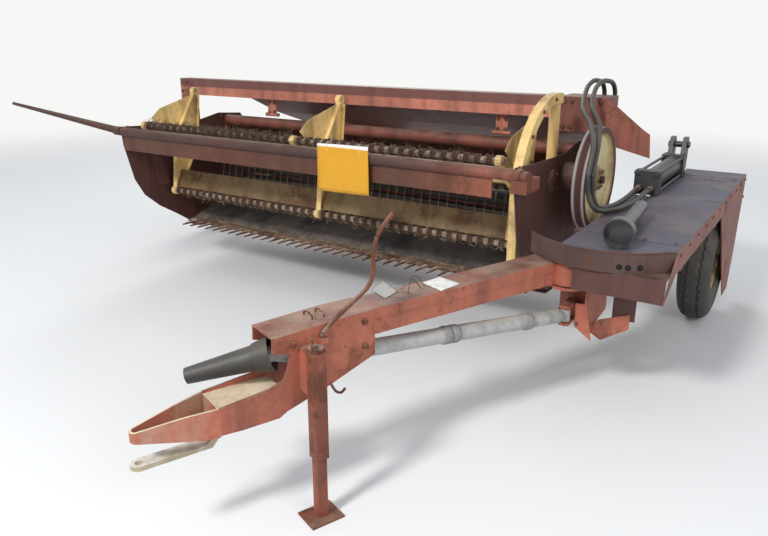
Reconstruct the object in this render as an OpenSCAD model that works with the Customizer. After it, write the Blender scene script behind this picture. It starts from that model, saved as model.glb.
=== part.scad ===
// Pull-type mower conditioner with its header raised and its tongue swung in for towing.
// X points to the machine's left, Y to its rear and Z up, with the ground at z = 0.
// Places are measured from the middle of the cutter bar and moved at the end to the middle
// of the machine's outline.

/* [Wheels] */
// Diameter of the tyres
tyre_d = 720; // [700:5:740]
// Width of the tyres
tyre_w = 180; // [160:5:185]
// Diameter of the rims
rim_d = 385; // [360:5:410]
// Distance of the axle line behind the cutter bar
wheel_y = 880; // [860:5:900]
// Middle plane of the left wheel
wheel_left_x = 2045; // [2035:1:2048]
// Middle plane of the right wheel
wheel_right_x = -1930; // [-1960:1:-1925]
// Diameter of the wheel spindles
spindle_d = 50; // [40:1:60]

/* [Main frame] */
// Height of the main beam's section
beam_h = 120; // [90:1:140]
// Depth of the main beam's section
beam_d = 100; // [80:1:120]
// Front face of the main beam behind the cutter bar
beam_y = 340; // [330:1:360]
// Underside of the main beam
beam_z = 1200; // [1190:1:1230]
// Right end of the main beam
beam_x0 = -1800; // [-1820:1:-1780]
// Left end of the main beam, where the shoulder box begins
beam_x1 = 1265; // [1200:1:1300]
// Left end of the shoulder box
shoulder_x1 = 1530; // [1520:1:1560]
// Depth of the shoulder box
shoulder_d = 220; // [200:1:240]
// Height of the shoulder box
shoulder_h = 190; // [170:1:220]
// Width of the legs, rails and lower beam
rail_w = 100; // [80:1:110]
// Underside of the left side rail
rail_z = 560; // [550:1:570]
// Height of the left side rail
rail_h = 120; // [80:1:125]
// Back end of the left side rail
rail_y1 = 1320; // [1280:1:1350]
// Front face of the lower beam behind the cutter bar
lower_y = 900; // [895:1:920]
// Outer width of the right leg
right_leg_w = 80; // [60:1:90]

/* [Deck] */
// Outer edge of the deck
deck_x1 = 2150; // [2148:1:2160]
// Inner edge of the deck beside the drive pulley
deck_x0 = 1700; // [1690:1:1710]
// Foremost point of the deck's rounded front
deck_y0 = -780; // [-790:1:-770]
// Rear edge of the deck
deck_y1 = 1420; // [1380:1:1450]
// Height of the deck's upper face
deck_z = 800; // [795:1:830]
// Thickness of the deck's sheets
deck_t = 5; // [3:1:8]
// Height of the curved front band
band_h = 84; // [80:1:84]
// Radius of that band
band_r = 400; // [390:5:420]
// Length of the loose drive-shaft guard's tube on the deck
guard_tube_l = 560; // [400:5:650]
// Diameter of that tube
guard_tube_d = 62; // [50:1:80]
// Diameter of the guard's bell
guard_bell_d = 130; // [110:1:150]

/* [Header] */
// Width across the outer faces of the end sheets
header_w = 2800; // [2790:1:2810]
// Thickness of the end sheets
sheet_t = 6; // [4:1:8]
// Height of the raised cutter bar
sickle_z = 330; // [300:1:350]
// Distance of the header's lift hinge behind the cutter bar
lift_y = 860; // [850:1:870]
// Height of the header's lift hinge
lift_z = 510; // [500:1:520]
// Diameter of the lift hinge pins
lift_pin_d = 36; // [25:1:40]
// Height of the push bar
push_z = 1030; // [1000:1:1060]
// Distance of the push bar ahead of the cutter bar
push_y = -545; // [-560:1:-530]
// Diameter of the push bar's pipe
push_d = 60; // [45:1:66]
// Height of the plank under the push bar
push_skirt_h = 90; // [60:1:110]
// Spacing of the knife guards
guard_pitch = 76; // [70:1:90]
// Length of a knife guard
guard_l = 110; // [80:1:130]
// Stroke of the knife each way
knife_stroke = 38; // [30:1:40]
// Radius of the yellow guard round the reel's left end
arch_r = 470; // [455:1:480]
// Width of that guard's band
arch_w = 52; // [30:1:70]

/* [Reel] */
// Distance of the reel's axle ahead of the cutter bar
reel_y = -70; // [-80:1:-60]
// Height of the reel's axle
reel_z = 920; // [910:1:930]
// Distance of the tine bars from the reel's axle
reel_r = 360; // [350:1:362]
// Diameter of the reel's central tube
reel_tube_d = 76; // [60:1:100]
// Diameter of the tine bars
bar_d = 34; // [28:1:40]
// Length of the tines
tine_l = 200; // [150:1:205]
// Diameter of the tine wire
tine_d = 7; // [5:1:9]
// Number of tines on each half of a bar
tines_half = 20; // [10:1:24]
// Width of the reel boards
board_w = 125; // [90:1:150]

/* [Conditioning rolls] */
// Diameter over the rolls' lugs
roll_d = 262; // [240:1:264]
// Height of the lugs on the rolls
lug_h = 24; // [15:1:30]
// Number of lugs round a roll
lug_n = 10; // [8:1:12]
// Angle by which the lugs lean round the roll at its middle
lug_lean = 24; // [0:1:30]
// Distance of the upper roll behind the cutter bar
roll_y = 545; // [540:1:560]
// Height of the upper roll
roll_z = 732; // [730:1:745]
// Distance between the axles of the two rolls
roll_gap = 270; // [270:1:275]

/* [Drive] */
// Diameter of the drive pulley
pulley_d = 550; // [500:1:560]
// Width of the drive pulley's rim
pulley_w = 62; // [50:1:70]
// Distance of the pulley's axle behind the cutter bar
pulley_y = 125; // [100:1:140]
// Height of the pulley's axle
pulley_z = 920; // [900:1:930]
// Diameter of the driveline's grey tube
drive_tube_d = 66; // [50:1:80]

/* [Tongue] */
// Place of the tongue's pivot to the left of the header's middle
pivot_x = 1720; // [1710:1:1730]
// Distance of the tongue's pivot ahead of the cutter bar
pivot_y = -660; // [-680:1:-650]
// Diameter of the pivot pin
pivot_d = 50; // [40:1:60]
// Angle of the tongue from straight ahead, towards the machine's right
swing = 22; // [18:1:26]
// Width of the tongue beam
tongue_w = 140; // [110:1:150]
// Height of the tongue beam
tongue_h = 100; // [90:1:110]
// Upper face of the tongue beam
tongue_z = 705; // [695:1:706]
// Distance of the tongue beam's middle to the right of its pivot
tongue_side = 85; // [80:1:90]
// Distance from the pivot to the hitch pin
hitch_l = 1890; // [1850:5:1930]
// Diameter of the hitch pin
hitch_d = 25; // [22:1:28]
// Width of the hitch strap
strap_w = 56; // [50:1:70]
// Thickness of the hitch strap
strap_t = 16; // [12:1:20]
// Upper face of the hitch strap
strap_z = 352; // [340:1:365]
// Distance from the pivot to the jack
jack_l = 1322; // [1290:1:1350]
// Side of the jack's square sleeve
jack_w = 50; // [45:1:60]
// Upper end of the jack's sleeve
jack_z = 650; // [630:5:670]

/* [Rear] */
// Rear edge of the windrow shields
shield_y1 = 1560; // [1500:5:1650]
// Height of the windrow shields
shield_h = 480; // [350:5:520]
// Gap between the windrow shields at their rear
shield_gap = 1000; // [800:10:1200]

/* [Hidden] */
$fn = 48;

// Clearances: round a pin that turns, and at a seat
fit = 0.08;
seat = 0.3;
steel = "#7a3a33";
maroon = "#4c2326";
cream = "#d3b87c";
dusk = "#5c5768";
grey = "#b9b7b0";
black = "#1d1d1f";
rust = "#6b4430";

axle_z = tyre_d / 2;
header_x = header_w / 2;
leg_x1 = shoulder_x1 - 8;
leg_x0 = leg_x1 - rail_w;
rail_x0 = pivot_x - rail_w / 2;
rail_x1 = pivot_x + rail_w / 2;
rail_top = rail_z + rail_h;
lower_z = rail_z - rail_w;
shoulder_z = beam_z + beam_h - shoulder_h;
leg_y = beam_y + shoulder_d - rail_w - 20;
right_x0 = beam_x0;
right_x1 = beam_x0 + right_leg_w;
roll_low_y = roll_y - 30;
roll_low_z = roll_z - sqrt(roll_gap * roll_gap - 30 * 30);
roll_x = header_x - 100;
roll_shaft_d = 44;
reel_x0 = -header_x + 60;
reel_x1 = header_x - 150;
reel_mid = (reel_x0 + reel_x1) / 2;
spider_t = 5;
// Reel arms counted from the rear towards the top, and which of them carry a tine bar
arm_angles = [70, 157, 250, 340];
// Each tine bar: angle of its arm, angle of its tines
bars = [[157, 280], [250, 332], [340, 258]];
tongue_bottom = tongue_z - tongue_h;
trough_z = 375;
plate_t = 8;

// Middle of the machine's outline, from its outermost points
divider_tip = [-2200, -800, 1195];
divider_tip_r = 10;
divider_root = [-header_x - 30, push_y - 5, push_z + 5];
divider_dir = (divider_tip - divider_root) / norm(divider_tip - divider_root);
outline_x0 = divider_tip[0] - divider_tip_r * sqrt(1 - divider_dir[0] * divider_dir[0]);
outline_x = (outline_x0 + deck_x1) / 2;
outline_y0 = pivot_y - hitch_l * cos(swing) + tongue_side * sin(swing) - strap_w / 2;
outline_y = (outline_y0 + shield_y1) / 2;

// Helper shapes

// A block between two corners
module block(a, b) {
    translate(a) cube(b - a);
}

// A round bar along X
module x_bar(x0, x1, y, z, d) {
    translate([x0, y, z]) rotate([0, 90, 0]) cylinder(d = d, h = x1 - x0);
}

// A plate in the YZ plane between x0 and x1, from points given as [y, z]
module side_plate(x0, x1, points) {
    translate([x0, 0, 0]) rotate([90, 0, 90]) linear_extrude(x1 - x0) polygon(points);
}

// A round bar from one point to another
module strut(a, b, d0, d1) {
    v = b - a;
    translate(a)
        rotate([0, acos(v[2] / norm(v)), atan2(v[1], v[0])])
            cylinder(d1 = d0, d2 = d1, h = norm(v));
}

function unit(v) = v / norm(v);

// A round bar through a list of points, with a ball at each corner
module bent_bar(points, d) {
    for (i = [0 : len(points) - 2])
        strut(points[i], points[i + 1], d, d);
    for (i = [1 : len(points) - 2])
        translate(points[i]) sphere(d = d);
}

// A closed skin over rings of points, each with as many points as the first
module skin(rings) {
    sides = len(rings[0]);
    n = len(rings);
    polyhedron(
        points = [for (r = rings) for (p = r) p],
        faces = concat(
            [[for (k = [0 : sides - 1]) k]],
            [[for (k = [sides - 1 : -1 : 0]) (n - 1) * sides + k]],
            [for (i = [0 : n - 2]) for (k = [0 : sides - 1])
                [i * sides + k, (i + 1) * sides + k, (i + 1) * sides + (k + 1) % sides,
                    i * sides + (k + 1) % sides]]
        )
    );
}

// Puts a shape drawn on a tongue that points straight ahead where the tongue stands
module on_tongue() {
    translate([pivot_x, pivot_y, 0]) rotate([0, 0, -swing]) children();
}

// The same for a shape drawn round the tongue beam's own middle line
module on_beam() on_tongue() translate([-tongue_side, 0, 0]) children();

// Frame

module main_beam() color(steel) {
    block([beam_x0, beam_y, beam_z], [beam_x1, beam_y + beam_d, beam_z + beam_h]);
    for (s = [-1, 1]) {
        block([s * 905 - 38, 386, 1076], [s * 905 + 38, 394, beam_z + 1]);
        x_bar(s * 905 - 58, s * 905 + 58, 390, 1088, 26);
    }
}

// Box at the beam's left end, with a deeper side and two hose fittings on a ledge behind it
port_z = 1185;
port_y = beam_y + shoulder_d + 35;
port_x = [shoulder_x1 - 90, shoulder_x1 - 30];
module left_shoulder() color(steel) {
    back = beam_y + shoulder_d;
    block([beam_x1, beam_y, shoulder_z], [shoulder_x1, back, beam_z + beam_h]);
    side_plate(shoulder_x1 - 8, shoulder_x1, [
        [beam_y, shoulder_z + 1], [beam_y + 60, shoulder_z - 66], [back, shoulder_z - 66], [back, shoulder_z + 1]
    ]);
    block([port_x[0] - 40, back, port_z - 12], [shoulder_x1, back + 60, port_z]);
    for (x = port_x)
        translate([x, port_y, port_z]) cylinder(d = 34, h = 40);
}

module shoulder_shield() color(steel)
    translate([shoulder_x1, beam_y, 0]) rotate([0, 0, 60]) rotate([90, 0, 0])
        linear_extrude(deck_t) polygon([
            [2 * seat, 1104], [2 * seat, beam_z + beam_h], [280, 1140], [345, 1104], [363, 968], [75, 1055]
        ]);

module right_leg() color(steel)
    block([right_x0, beam_y, rail_z], [right_x1, beam_y + beam_d, beam_z]);

module left_leg() color(steel)
    block([leg_x0, leg_y, rail_z], [leg_x1, leg_y + rail_w, shoulder_z]);

module right_rail() color(steel)
    block([right_x0, beam_y, lower_z], [right_x1, lower_y, rail_z]);

// Left rail that reaches forward to the tongue's pivot, with its stub to the leg
module side_rail() color(steel) {
    block([rail_x0, pivot_y + 100, rail_z], [rail_x1, rail_y1, rail_top]);
    block([leg_x1, leg_y, rail_z], [rail_x0, leg_y + rail_w, rail_top]);
}

module lower_beam() color(steel) {
    block([right_x0, lower_y, lower_z], [rail_x1, lower_y + rail_w, rail_z]);
    for (s = [-1, 1])
        for (x = [s * (header_x - 90) - 30, s * (header_x - 90) + 18])
            side_plate(x, x + 12, [
                [lower_y, lower_z + 10], [lift_y - 40, lift_z - 35], [lift_y - 40, lift_z + 35],
                [lower_y, rail_z - 5]
            ]);
    for (s = [-1, 1])
        x_bar(s * (header_x - 90) - 30, s * (header_x - 90) + 30, lift_y, lift_z, lift_pin_d);
}

// Hangers that carry the wheel spindles
module axle_left() color(steel) {
    block([rail_x0 + 10, lower_y - 100, axle_z - 45], [rail_x1 - 10, lower_y, rail_z]);
    x_bar(rail_x1 - 10, wheel_left_x + 70, wheel_y, axle_z, spindle_d);
    x_bar(rail_x1 - 10, wheel_left_x - tyre_w / 2 - 10, wheel_y, axle_z, spindle_d + 30);
}

module axle_right() color(steel) {
    block([right_x0, lower_y - 100, axle_z - 45], [right_x1, lower_y, lower_z]);
    x_bar(wheel_right_x - 70, right_x0, wheel_y, axle_z, spindle_d);
    x_bar(wheel_right_x + tyre_w / 2 + 10, right_x0, wheel_y, axle_z, spindle_d + 30);
}

module tongue_clevis() color(steel) {
    reach = pivot_y + 100;
    half = pivot_d + 30;
    for (z = [tongue_bottom - 17, tongue_z + 5])
        translate([pivot_x, pivot_y, z]) {
            cylinder(r = half, h = 12);
            translate([-half, 0, 0]) cube([2 * half, reach - pivot_y, 12]);
        }
    block([pivot_x - half, reach - 12, tongue_bottom - 17], [pivot_x + half, reach, tongue_z + 17]);
    translate([pivot_x, pivot_y, tongue_bottom - 31]) cylinder(d = pivot_d, h = tongue_z - tongue_bottom + 51);
}

// Angle gearbox under the rail, with a yoke whose upright pin stands on the tongue's pivot line
yoke_z = 450;
module gearbox() color(steel) {
    block([pivot_x - 80, pivot_y + 150, yoke_z - 80], [pivot_x + 80, pivot_y + 330, rail_z]);
    translate([pivot_x, pivot_y + 151, yoke_z]) rotate([90, 0, 0]) cylinder(d = 60, h = 62);
    for (s = [-1, 1])
        block([pivot_x - 22, pivot_y - 22, yoke_z + s * 40 - 7], [pivot_x + 22, pivot_y + 100, yoke_z + s * 40 + 7]);
    block([pivot_x - 22, pivot_y + 78, yoke_z - 47], [pivot_x + 22, pivot_y + 100, yoke_z + 47]);
    translate([pivot_x, pivot_y, yoke_z - 47]) cylinder(d = 20, h = 94);
    side_plate(pivot_x + 80, pivot_x + 90, [
        [pivot_y + 10, rail_z - 40], [pivot_y + 60, yoke_z - 90], [pivot_y + 330, yoke_z - 60],
        [pivot_y + 330, rail_z + 60], [pivot_y + 10, rail_z + 70]
    ]);
    translate([0, pivot_y + 46, 0]) rotate([90, 0, 0]) linear_extrude(6) polygon([
        [pivot_x + 30, 498], [pivot_x + 82, 500], [pivot_x + 111, 331], [pivot_x + 32, 385]
    ]);
    translate([0, pivot_y + 118, 0]) rotate([90, 0, 0]) linear_extrude(8) polygon([
        [pivot_x + 81, 372], [pivot_x + 118, 411], [pivot_x + 255, 466], [pivot_x + 254, 394],
        [pivot_x + 136, 316], [pivot_x + 81, 345]
    ]);
}

// Deck

// Arc that the deck's front edge and its band follow
band_t = 8;
band_c = [deck_x1 - 320, deck_y0 + band_r];
skirt_x = deck_x1 - deck_t;

module deck_top() color(dusk)
    translate([0, 0, deck_z - deck_t]) intersection() {
        linear_extrude(deck_t) polygon([
            [deck_x0, deck_y0], [deck_x1, deck_y0], [deck_x1, deck_y1], [rail_x1 + 20, deck_y1],
            [rail_x1 + 20, leg_y - 20], [deck_x0, leg_y - 20]
        ]);
        union() {
            translate([deck_x0, deck_y0 + 160, 0]) cube([deck_x1 - deck_x0, 3000, deck_t]);
            translate(band_c) cylinder(r = band_r - band_t, h = deck_t, $fn = 160);
        }
    }

// Rounded front lip of the deck
module deck_front_band() color(steel)
    translate([band_c[0], band_c[1], deck_z - band_h])
        intersection() {
            difference() {
                cylinder(r = band_r, h = band_h + 6, $fn = 160);
                translate([0, 0, -1]) cylinder(r = band_r - band_t, h = band_h + 8, $fn = 160);
            }
            translate([-300, -band_r - 1, -1]) cube([300 + skirt_x - band_c[0], 160, band_h + 8]);
        }

// Side of the deck with the shield behind the left wheel
module deck_skirt() color(steel) {
    z = deck_z - deck_t;
    side_plate(skirt_x, deck_x1, [
        [deck_y0 + 170, z], [deck_y0 + 5, z - 175], [deck_y0 + 180, z - 95], [deck_y0 + 1340, z - 95],
        [deck_y0 + 1360, z - 130], [deck_y0 + 1780, 200], [deck_y0 + 1900, 70], [deck_y0 + 2080, 70],
        [deck_y0 + 2140, 300], [deck_y1, z]
    ]);
}

module deck_channels() color(maroon) {
    for (y = [pivot_y + 180, 360, 1200])
        block([rail_x0, y, rail_top], [skirt_x, y + 60, deck_z - deck_t]);
    block([rail_x1 + 40, deck_y0 + 26, deck_z - band_h - 5], [skirt_x, pivot_y + 180, deck_z - band_h]);
    block([rail_x1 + 125, pivot_y + 118, 430], [rail_x1 + 225, pivot_y + 124, deck_z - band_h - 5]);
    block([rail_x1 - 5, deck_y0 + 20, deck_z - band_h - 104], [skirt_x, deck_y0 + 26, deck_z - band_h]);
}

// Loose guard of a drive shaft that lies on the deck
module shaft_guard() color(grey)
    translate([1925, deck_y0 + 78, deck_z + guard_bell_d / 2 + seat]) rotate([-90, 0, 4.8]) {
        difference() {
            union() {
                cylinder(d = guard_bell_d, h = 50);
                translate([0, 0, 50]) cylinder(d1 = guard_bell_d, d2 = guard_tube_d, h = 40);
                cylinder(d = guard_tube_d, h = guard_tube_l);
            }
            translate([0, 0, -1]) cylinder(d = guard_bell_d - 12, h = 45);
        }
    }

// Rear hood and the shields that narrow the windrow
module rear_hood() color(steel) {
    y0 = beam_y + beam_d;
    side_plate(-header_x + 60, beam_x1 - 5, [
        [y0, beam_z + 60], [y0, beam_z + 52], [roll_y + 380, beam_z - 160], [roll_y + 760, beam_z - 280],
        [roll_y + 760, beam_z - 272], [roll_y + 382, beam_z - 152]
    ]);
}

module windrow_shield(s) {
    z0 = lower_z + 20;
    y0 = lower_y + rail_w;
    x0 = header_x - 250;
    x1 = shield_gap / 2;
    translate([0, 0, z0]) linear_extrude(shield_h - 40) polygon([
        [s * x0, y0], [s * x1, shield_y1 - 6], [s * x1, shield_y1], [s * (x1 + 4), shield_y1], [s * (x0 + 8), y0]
    ]);
}

module windrow_shield_left() color(steel) windrow_shield(1);
module windrow_shield_right() color(steel) windrow_shield(-1);

// Hydraulic hoses. The tube between the points of a route is one skin of rings.
hose_d = 26;
bundle_y = 400;
hose_left_route = [
    [1500, 595, 1225 + seat], [1500, 595, 1290], [1500, 580, 1345], [1497, 540, 1385], [1490, 485, 1400],
    [1478, 400, 1402], [1474, 300, 1368], [1510, 150, 1290], [1590, 30, 1215], [1630, -90, 1130], [1638, -160, 1010], [1645, -165, 920],
    [1672, -150, 838], [1712, -40, 826], [1725, 160, 828], [1728, bundle_y - 60, 842],
    [1728, bundle_y - seat, 842]
];
hose_right_route = [
    [1440, 595, 1225 + seat], [1440, 595, 1290], [1440, 580, 1345], [1438, 540, 1385], [1434, 485, 1400],
    [1426, 400, 1402], [1426, 300, 1366], [1470, 130, 1280], [1560, -10, 1215], [1625, -150, 1130], [1632, -215, 1010], [1640, -215, 915],
    [1680, -200, 835], [1745, -90, 822], [1782, 120, 826], [1790, bundle_y - 60, 842],
    [1790, bundle_y - seat, 842]
];

// Point at share t of the stretch from p[i] to p[i + 1], on a smooth curve through the points
function bend(p, i, t) =
    let (
        a = p[max(i - 1, 0)], b = p[i], c = p[i + 1], d = p[min(i + 2, len(p) - 1)]
    )
    0.5 * (2 * b + (c - a) * t + (2 * a - 5 * b + 4 * c - d) * t * t + (3 * b - a - 3 * c + d) * t * t * t);
function route(p, n) = [
    for (i = [0 : len(p) - 2]) for (k = [0 : n - 1]) bend(p, i, k / n),
    p[len(p) - 1]
];
function ring(c, dir, r, sides) =
    let (
        side = unit(cross(dir, abs(dir[2]) > 0.9 ? [1, 0, 0] : [0, 0, 1])),
        up = cross(side, dir)
    )
    [for (k = [0 : sides - 1]) c + r * (cos(360 * k / sides) * side + sin(360 * k / sides) * up)];

module tube(points, d) {
    sides = 8;
    path = route(points, 4);
    n = len(path);
    ends = [points[1] - points[0], points[len(points) - 1] - points[len(points) - 2]];
    rings = [
        for (i = [0 : n - 1])
            ring(path[i], unit(i == 0 ? ends[0] : i == n - 1 ? ends[1] : path[i + 1] - path[i - 1]), d / 2, sides)
    ];
    skin(rings);
}

module hose_left() color(black) tube(hose_left_route, hose_d);
module hose_right() color(black) tube(hose_right_route, hose_d);

// Loose hydraulic cylinder with tie rods that lies on the deck, with both hoses on its front cap
cyl_x = 1759;
cyl_y = [bundle_y, bundle_y + 40, 1150];
cyl_h = 132;
cyl_z = deck_z + seat + cyl_h / 2;
module y_bar(x, y0, y1, z, d) translate([x, y0, z]) rotate([-90, 0, 0]) cylinder(d = d, h = y1 - y0);
module loose_cylinder() color(black) {
    half = cyl_h / 2;
    for (y = [cyl_y[1], cyl_y[2] - 75])
        block([cyl_x - half, y, cyl_z - half], [cyl_x + half, y + 75, cyl_z + half]);
    y_bar(cyl_x, cyl_y[1] + 5, cyl_y[2] - 5, cyl_z, cyl_h - 20);
    for (a = [-1, 1])
        for (b = [-1, 1]) {
            y_bar(cyl_x + a * 53, cyl_y[1] - 14, cyl_y[2] - 5, cyl_z + b * 53, 16);
            y_bar(cyl_x + a * 53, cyl_y[1] - 10, cyl_y[1] + 5, cyl_z + b * 53, 26);
        }
    for (x = [cyl_x - 31, cyl_x + 31])
        y_bar(x, cyl_y[0], cyl_y[1] + 5, 842, 36);
}

// Pair of ears and the pin at the rear end of the loose cylinder
module cylinder_clevis() color(black) {
    for (s = [-1, 1])
        side_plate(cyl_x + s * 38 - 12, cyl_x + s * 38 + 12, [
            [cyl_y[2], deck_z + 12], [cyl_y[2] + 110, deck_z + 30], [cyl_y[2] + 130, 990], [cyl_y[2] + 105, 1030],
            [cyl_y[2] + 45, 1030], [cyl_y[2], 925]
        ]);
    block([cyl_x - 30, cyl_y[2], deck_z + 14], [cyl_x + 30, cyl_y[2] + 24, 915]);
    x_bar(cyl_x - 64, cyl_x + 64, cyl_y[2] + 82, 982, 38);
}

// Tongue, drawn pointing straight ahead from its pivot

module tongue_beam() color(steel) on_tongue() difference() {
    union() {
        block([-tongue_side - tongue_w / 2, -1180, tongue_bottom], [-tongue_side + tongue_w / 2, 0, tongue_z]);
        block([-tongue_side, -pivot_d - 20, tongue_bottom], [0, 0, tongue_z]);
        translate([0, 0, tongue_bottom]) cylinder(r = pivot_d + 20, h = tongue_h);
    }
    translate([0, 0, tongue_bottom - 1]) cylinder(d = pivot_d + 2 * fit, h = tongue_h + 2);
}

// Start of the raised floor ahead of the pivot, its length and where it ends
floor_w = 1400;
trough_l = 240;
trough_w0 = floor_w + trough_l;
// Side plate of the gooseneck as [distance ahead of the pivot, height]
gooseneck_outline = [
    [1035, 530], [1230, 460], [floor_w - 4, 412], [floor_w + 27, 395], [trough_w0 - 80, 395], [trough_w0, 400],
    [trough_w0, 498], [floor_w + 58, 515], [floor_w + 5, 534], [floor_w - 12, 574], [floor_w - 24, 622],
    [floor_w + 43, 638], [floor_w + 41, 692], [1300, 699], [1180, 705], [1035, 705]
];
nose_w = 1885;
nose_half = 24;
// Bend and front end of the power take-off line under the tongue
shaft_knee = [0, -(floor_w - 200), 540];
shaft_nose = [0, -(floor_w + 30), 605];
shaft_tip = [-150, -(floor_w + 262), 530];

module gooseneck() color(steel) on_beam() {
    half = tongue_w / 2;
    for (s = [-1, 1])
        rotate([90, 0, -90]) translate([0, 0, s * (half + plate_t / 2) - plate_t / 2])
            linear_extrude(plate_t) polygon(gooseneck_outline);
    rotate([90, 0, -90]) translate([0, 0, -half]) linear_extrude(2 * half)
        polygon([[floor_w + 41, 688], [floor_w + 41, 692], [1300, 699], [1180, tongue_z], [1180, 701], [1300, 695]]);
    block([half + plate_t, -jack_l - 22, 480], [tongue_side + jack_x - jack_w / 2, -jack_l + 22, 640]);
    block([half + plate_t, -1270, 636], [half + plate_t + 20, -1238, 656 - seat]);
}

// Raised floor of the gooseneck and the narrowing nose ahead of it
module hitch_trough() color(steel) on_beam() {
    half = tongue_w / 2;
    block([-half, -trough_w0, 486], [half, -floor_w, 490]);
    block([-half, -trough_w0, 395], [half, -trough_w0 + 5, 486]);
    difference() {
        translate([0, 0, 395]) linear_extrude(110) difference() {
            union() {
                polygon([
                    [-half - plate_t, -trough_w0], [-nose_half, -nose_w], [nose_half, -nose_w], [half + plate_t, -trough_w0]
                ]);
                translate([0, -nose_w]) circle(r = nose_half);
            }
            union() {
                polygon([
                    [-half, -trough_w0 + 1], [-nose_half + plate_t, -nose_w], [nose_half - plate_t, -nose_w],
                    [half, -trough_w0 + 1]
                ]);
                translate([0, -nose_w]) circle(r = nose_half - plate_t);
            }
        }
        rotate([90, 0, -90]) translate([0, 0, -100]) linear_extrude(200)
            polygon([
                [trough_w0 - 40, 499], [trough_w0, 498], [1750, 490], [1950, 462], [1950, 520], [trough_w0 - 40, 520]
            ]);
        rotate([90, 0, -90]) translate([0, 0, -100]) linear_extrude(200)
            polygon([[1700, 390], [1700, 395], [1950, 440], [1950, 390]]);
    }
    translate([0, 0, 395]) linear_extrude(4) polygon([
        [-half, -floor_w - 50], [-half, -trough_w0], [-half + 10, -1700], [half - 10, -1700], [half, -trough_w0],
        [half, -floor_w - 50]
    ]);
}

module hitch_strap() color(rust) on_beam() difference() {
    union() {
        block([-strap_w / 2, -hitch_l, strap_z - strap_t], [strap_w / 2, -1655, strap_z]);
        translate([0, -hitch_l, strap_z - strap_t]) cylinder(d = strap_w, h = strap_t);
        rotate([90, 0, -90]) translate([0, 0, -strap_w / 2]) linear_extrude(strap_w) polygon([
            [1655, strap_z - strap_t], [1675, strap_z], [1625, 395], [1450, 395], [1450, 395 - strap_t], [1615, 395 - strap_t]
        ]);
    }
    translate([0, -hitch_l, strap_z - strap_t - 1]) cylinder(d = hitch_d + 2, h = strap_t + 2);
}

jack_x = 72;
jack_wall = 5;
module jack_sleeve() color(steel) on_tongue() translate([jack_x, -jack_l, 0]) difference() {
    union() {
        translate([-jack_w / 2, -jack_w / 2, 245]) cube([jack_w, jack_w, jack_z - 245]);
        translate([-34, -34, jack_z - 6]) cube([68, 68, 6]);
    }
    translate([-jack_w / 2 + jack_wall, -jack_w / 2 + jack_wall, 244])
        cube([jack_w - 2 * jack_wall, jack_w - 2 * jack_wall, jack_z - 245 - 5]);
}

module jack_leg() color(rust) on_tongue() translate([jack_x, -jack_l, 0]) {
    w = jack_w - 2 * jack_wall - 2;
    translate([-w / 2, -w / 2, 0]) cube([w, w, 330]);
    translate([-55, -65, 0]) cube([110, 130, 8]);
}

// Bent rod that holds the hoses clear of the tongue
module hose_holder() color(rust) on_tongue()
    tube([
        [3, -1254, 656], [3, -1254, 674], [3, -1200, 716], [4, -1116, 770], [4, -1066, 806], [4, -1046, 850], [4, -1045, 925],
        [4, -1030, 975], [4, -1004, 1015], [4, -962, 1054]
    ], 16);

// Front end of the power take-off line: bell and hanging guard tube
module pto_shaft() color(black) on_beam() {
    axis = unit(shaft_tip - shaft_nose);
    difference() {
        strut(shaft_nose - 22 * axis, shaft_nose + 40 * axis, 126, 100);
        strut(shaft_nose - 23 * axis, shaft_nose + 36 * axis, 118, 88);
    }
    strut(shaft_nose + 32 * axis, shaft_tip, 92, 58);
}

module driveline() color(grey) on_tongue() difference() {
    side = [-tongue_side, 0, 0];
    union() {
        strut([-3, -50, yoke_z + 4], shaft_knee + side, drive_tube_d, drive_tube_d);
        strut(shaft_knee + side + [0, 14, -3], shaft_nose + side, 50, 50);
        translate(shaft_nose + side) sphere(d = 63.4);
        translate([0, 0, yoke_z - 28]) cylinder(d = 44, h = 56);
        strut([0, 0, yoke_z], [-5, -70, yoke_z + 5], 40, 48);
    }
    translate([0, 0, yoke_z - 40]) cylinder(d = 20 + 2 * fit, h = 80);
}

// Header

// Outline of an end sheet as [y, z]
sheet_outline = [
    [push_y - 15, push_z + 35], [push_y - 5, push_z - 90], [-490, 700], [-420, 580], [-300, 480],
    [-150, 390], [-20, sickle_z - 25], [300, sickle_z - 25], [600, sickle_z], [680, 420], [680, 900],
    [560, 1060], [330, 1080], [100, 1040], [-300, 1050]
];
push_x1 = header_x - 60;
push_end = [push_x1 + 130, push_y - 25, push_z - 5];
module end_sheet(s) difference() {
    side_plate(s > 0 ? header_x - sheet_t : -header_x, s > 0 ? header_x : -header_x + sheet_t, sheet_outline);
    x_bar(s * header_x - 50, s * header_x + 50, reel_y, reel_z, 40 + 2 * fit);
    x_bar(s * header_x - 50, s * header_x + 50, roll_y, roll_z, roll_shaft_d + 2 * fit);
    x_bar(s * header_x - 50, s * header_x + 50, roll_low_y, roll_low_z, roll_shaft_d + 2 * fit);
    if (s > 0)
        strut([push_x1, push_y, push_z], push_end, push_d + 2 * seat, push_d + 2 * seat);
}
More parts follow.
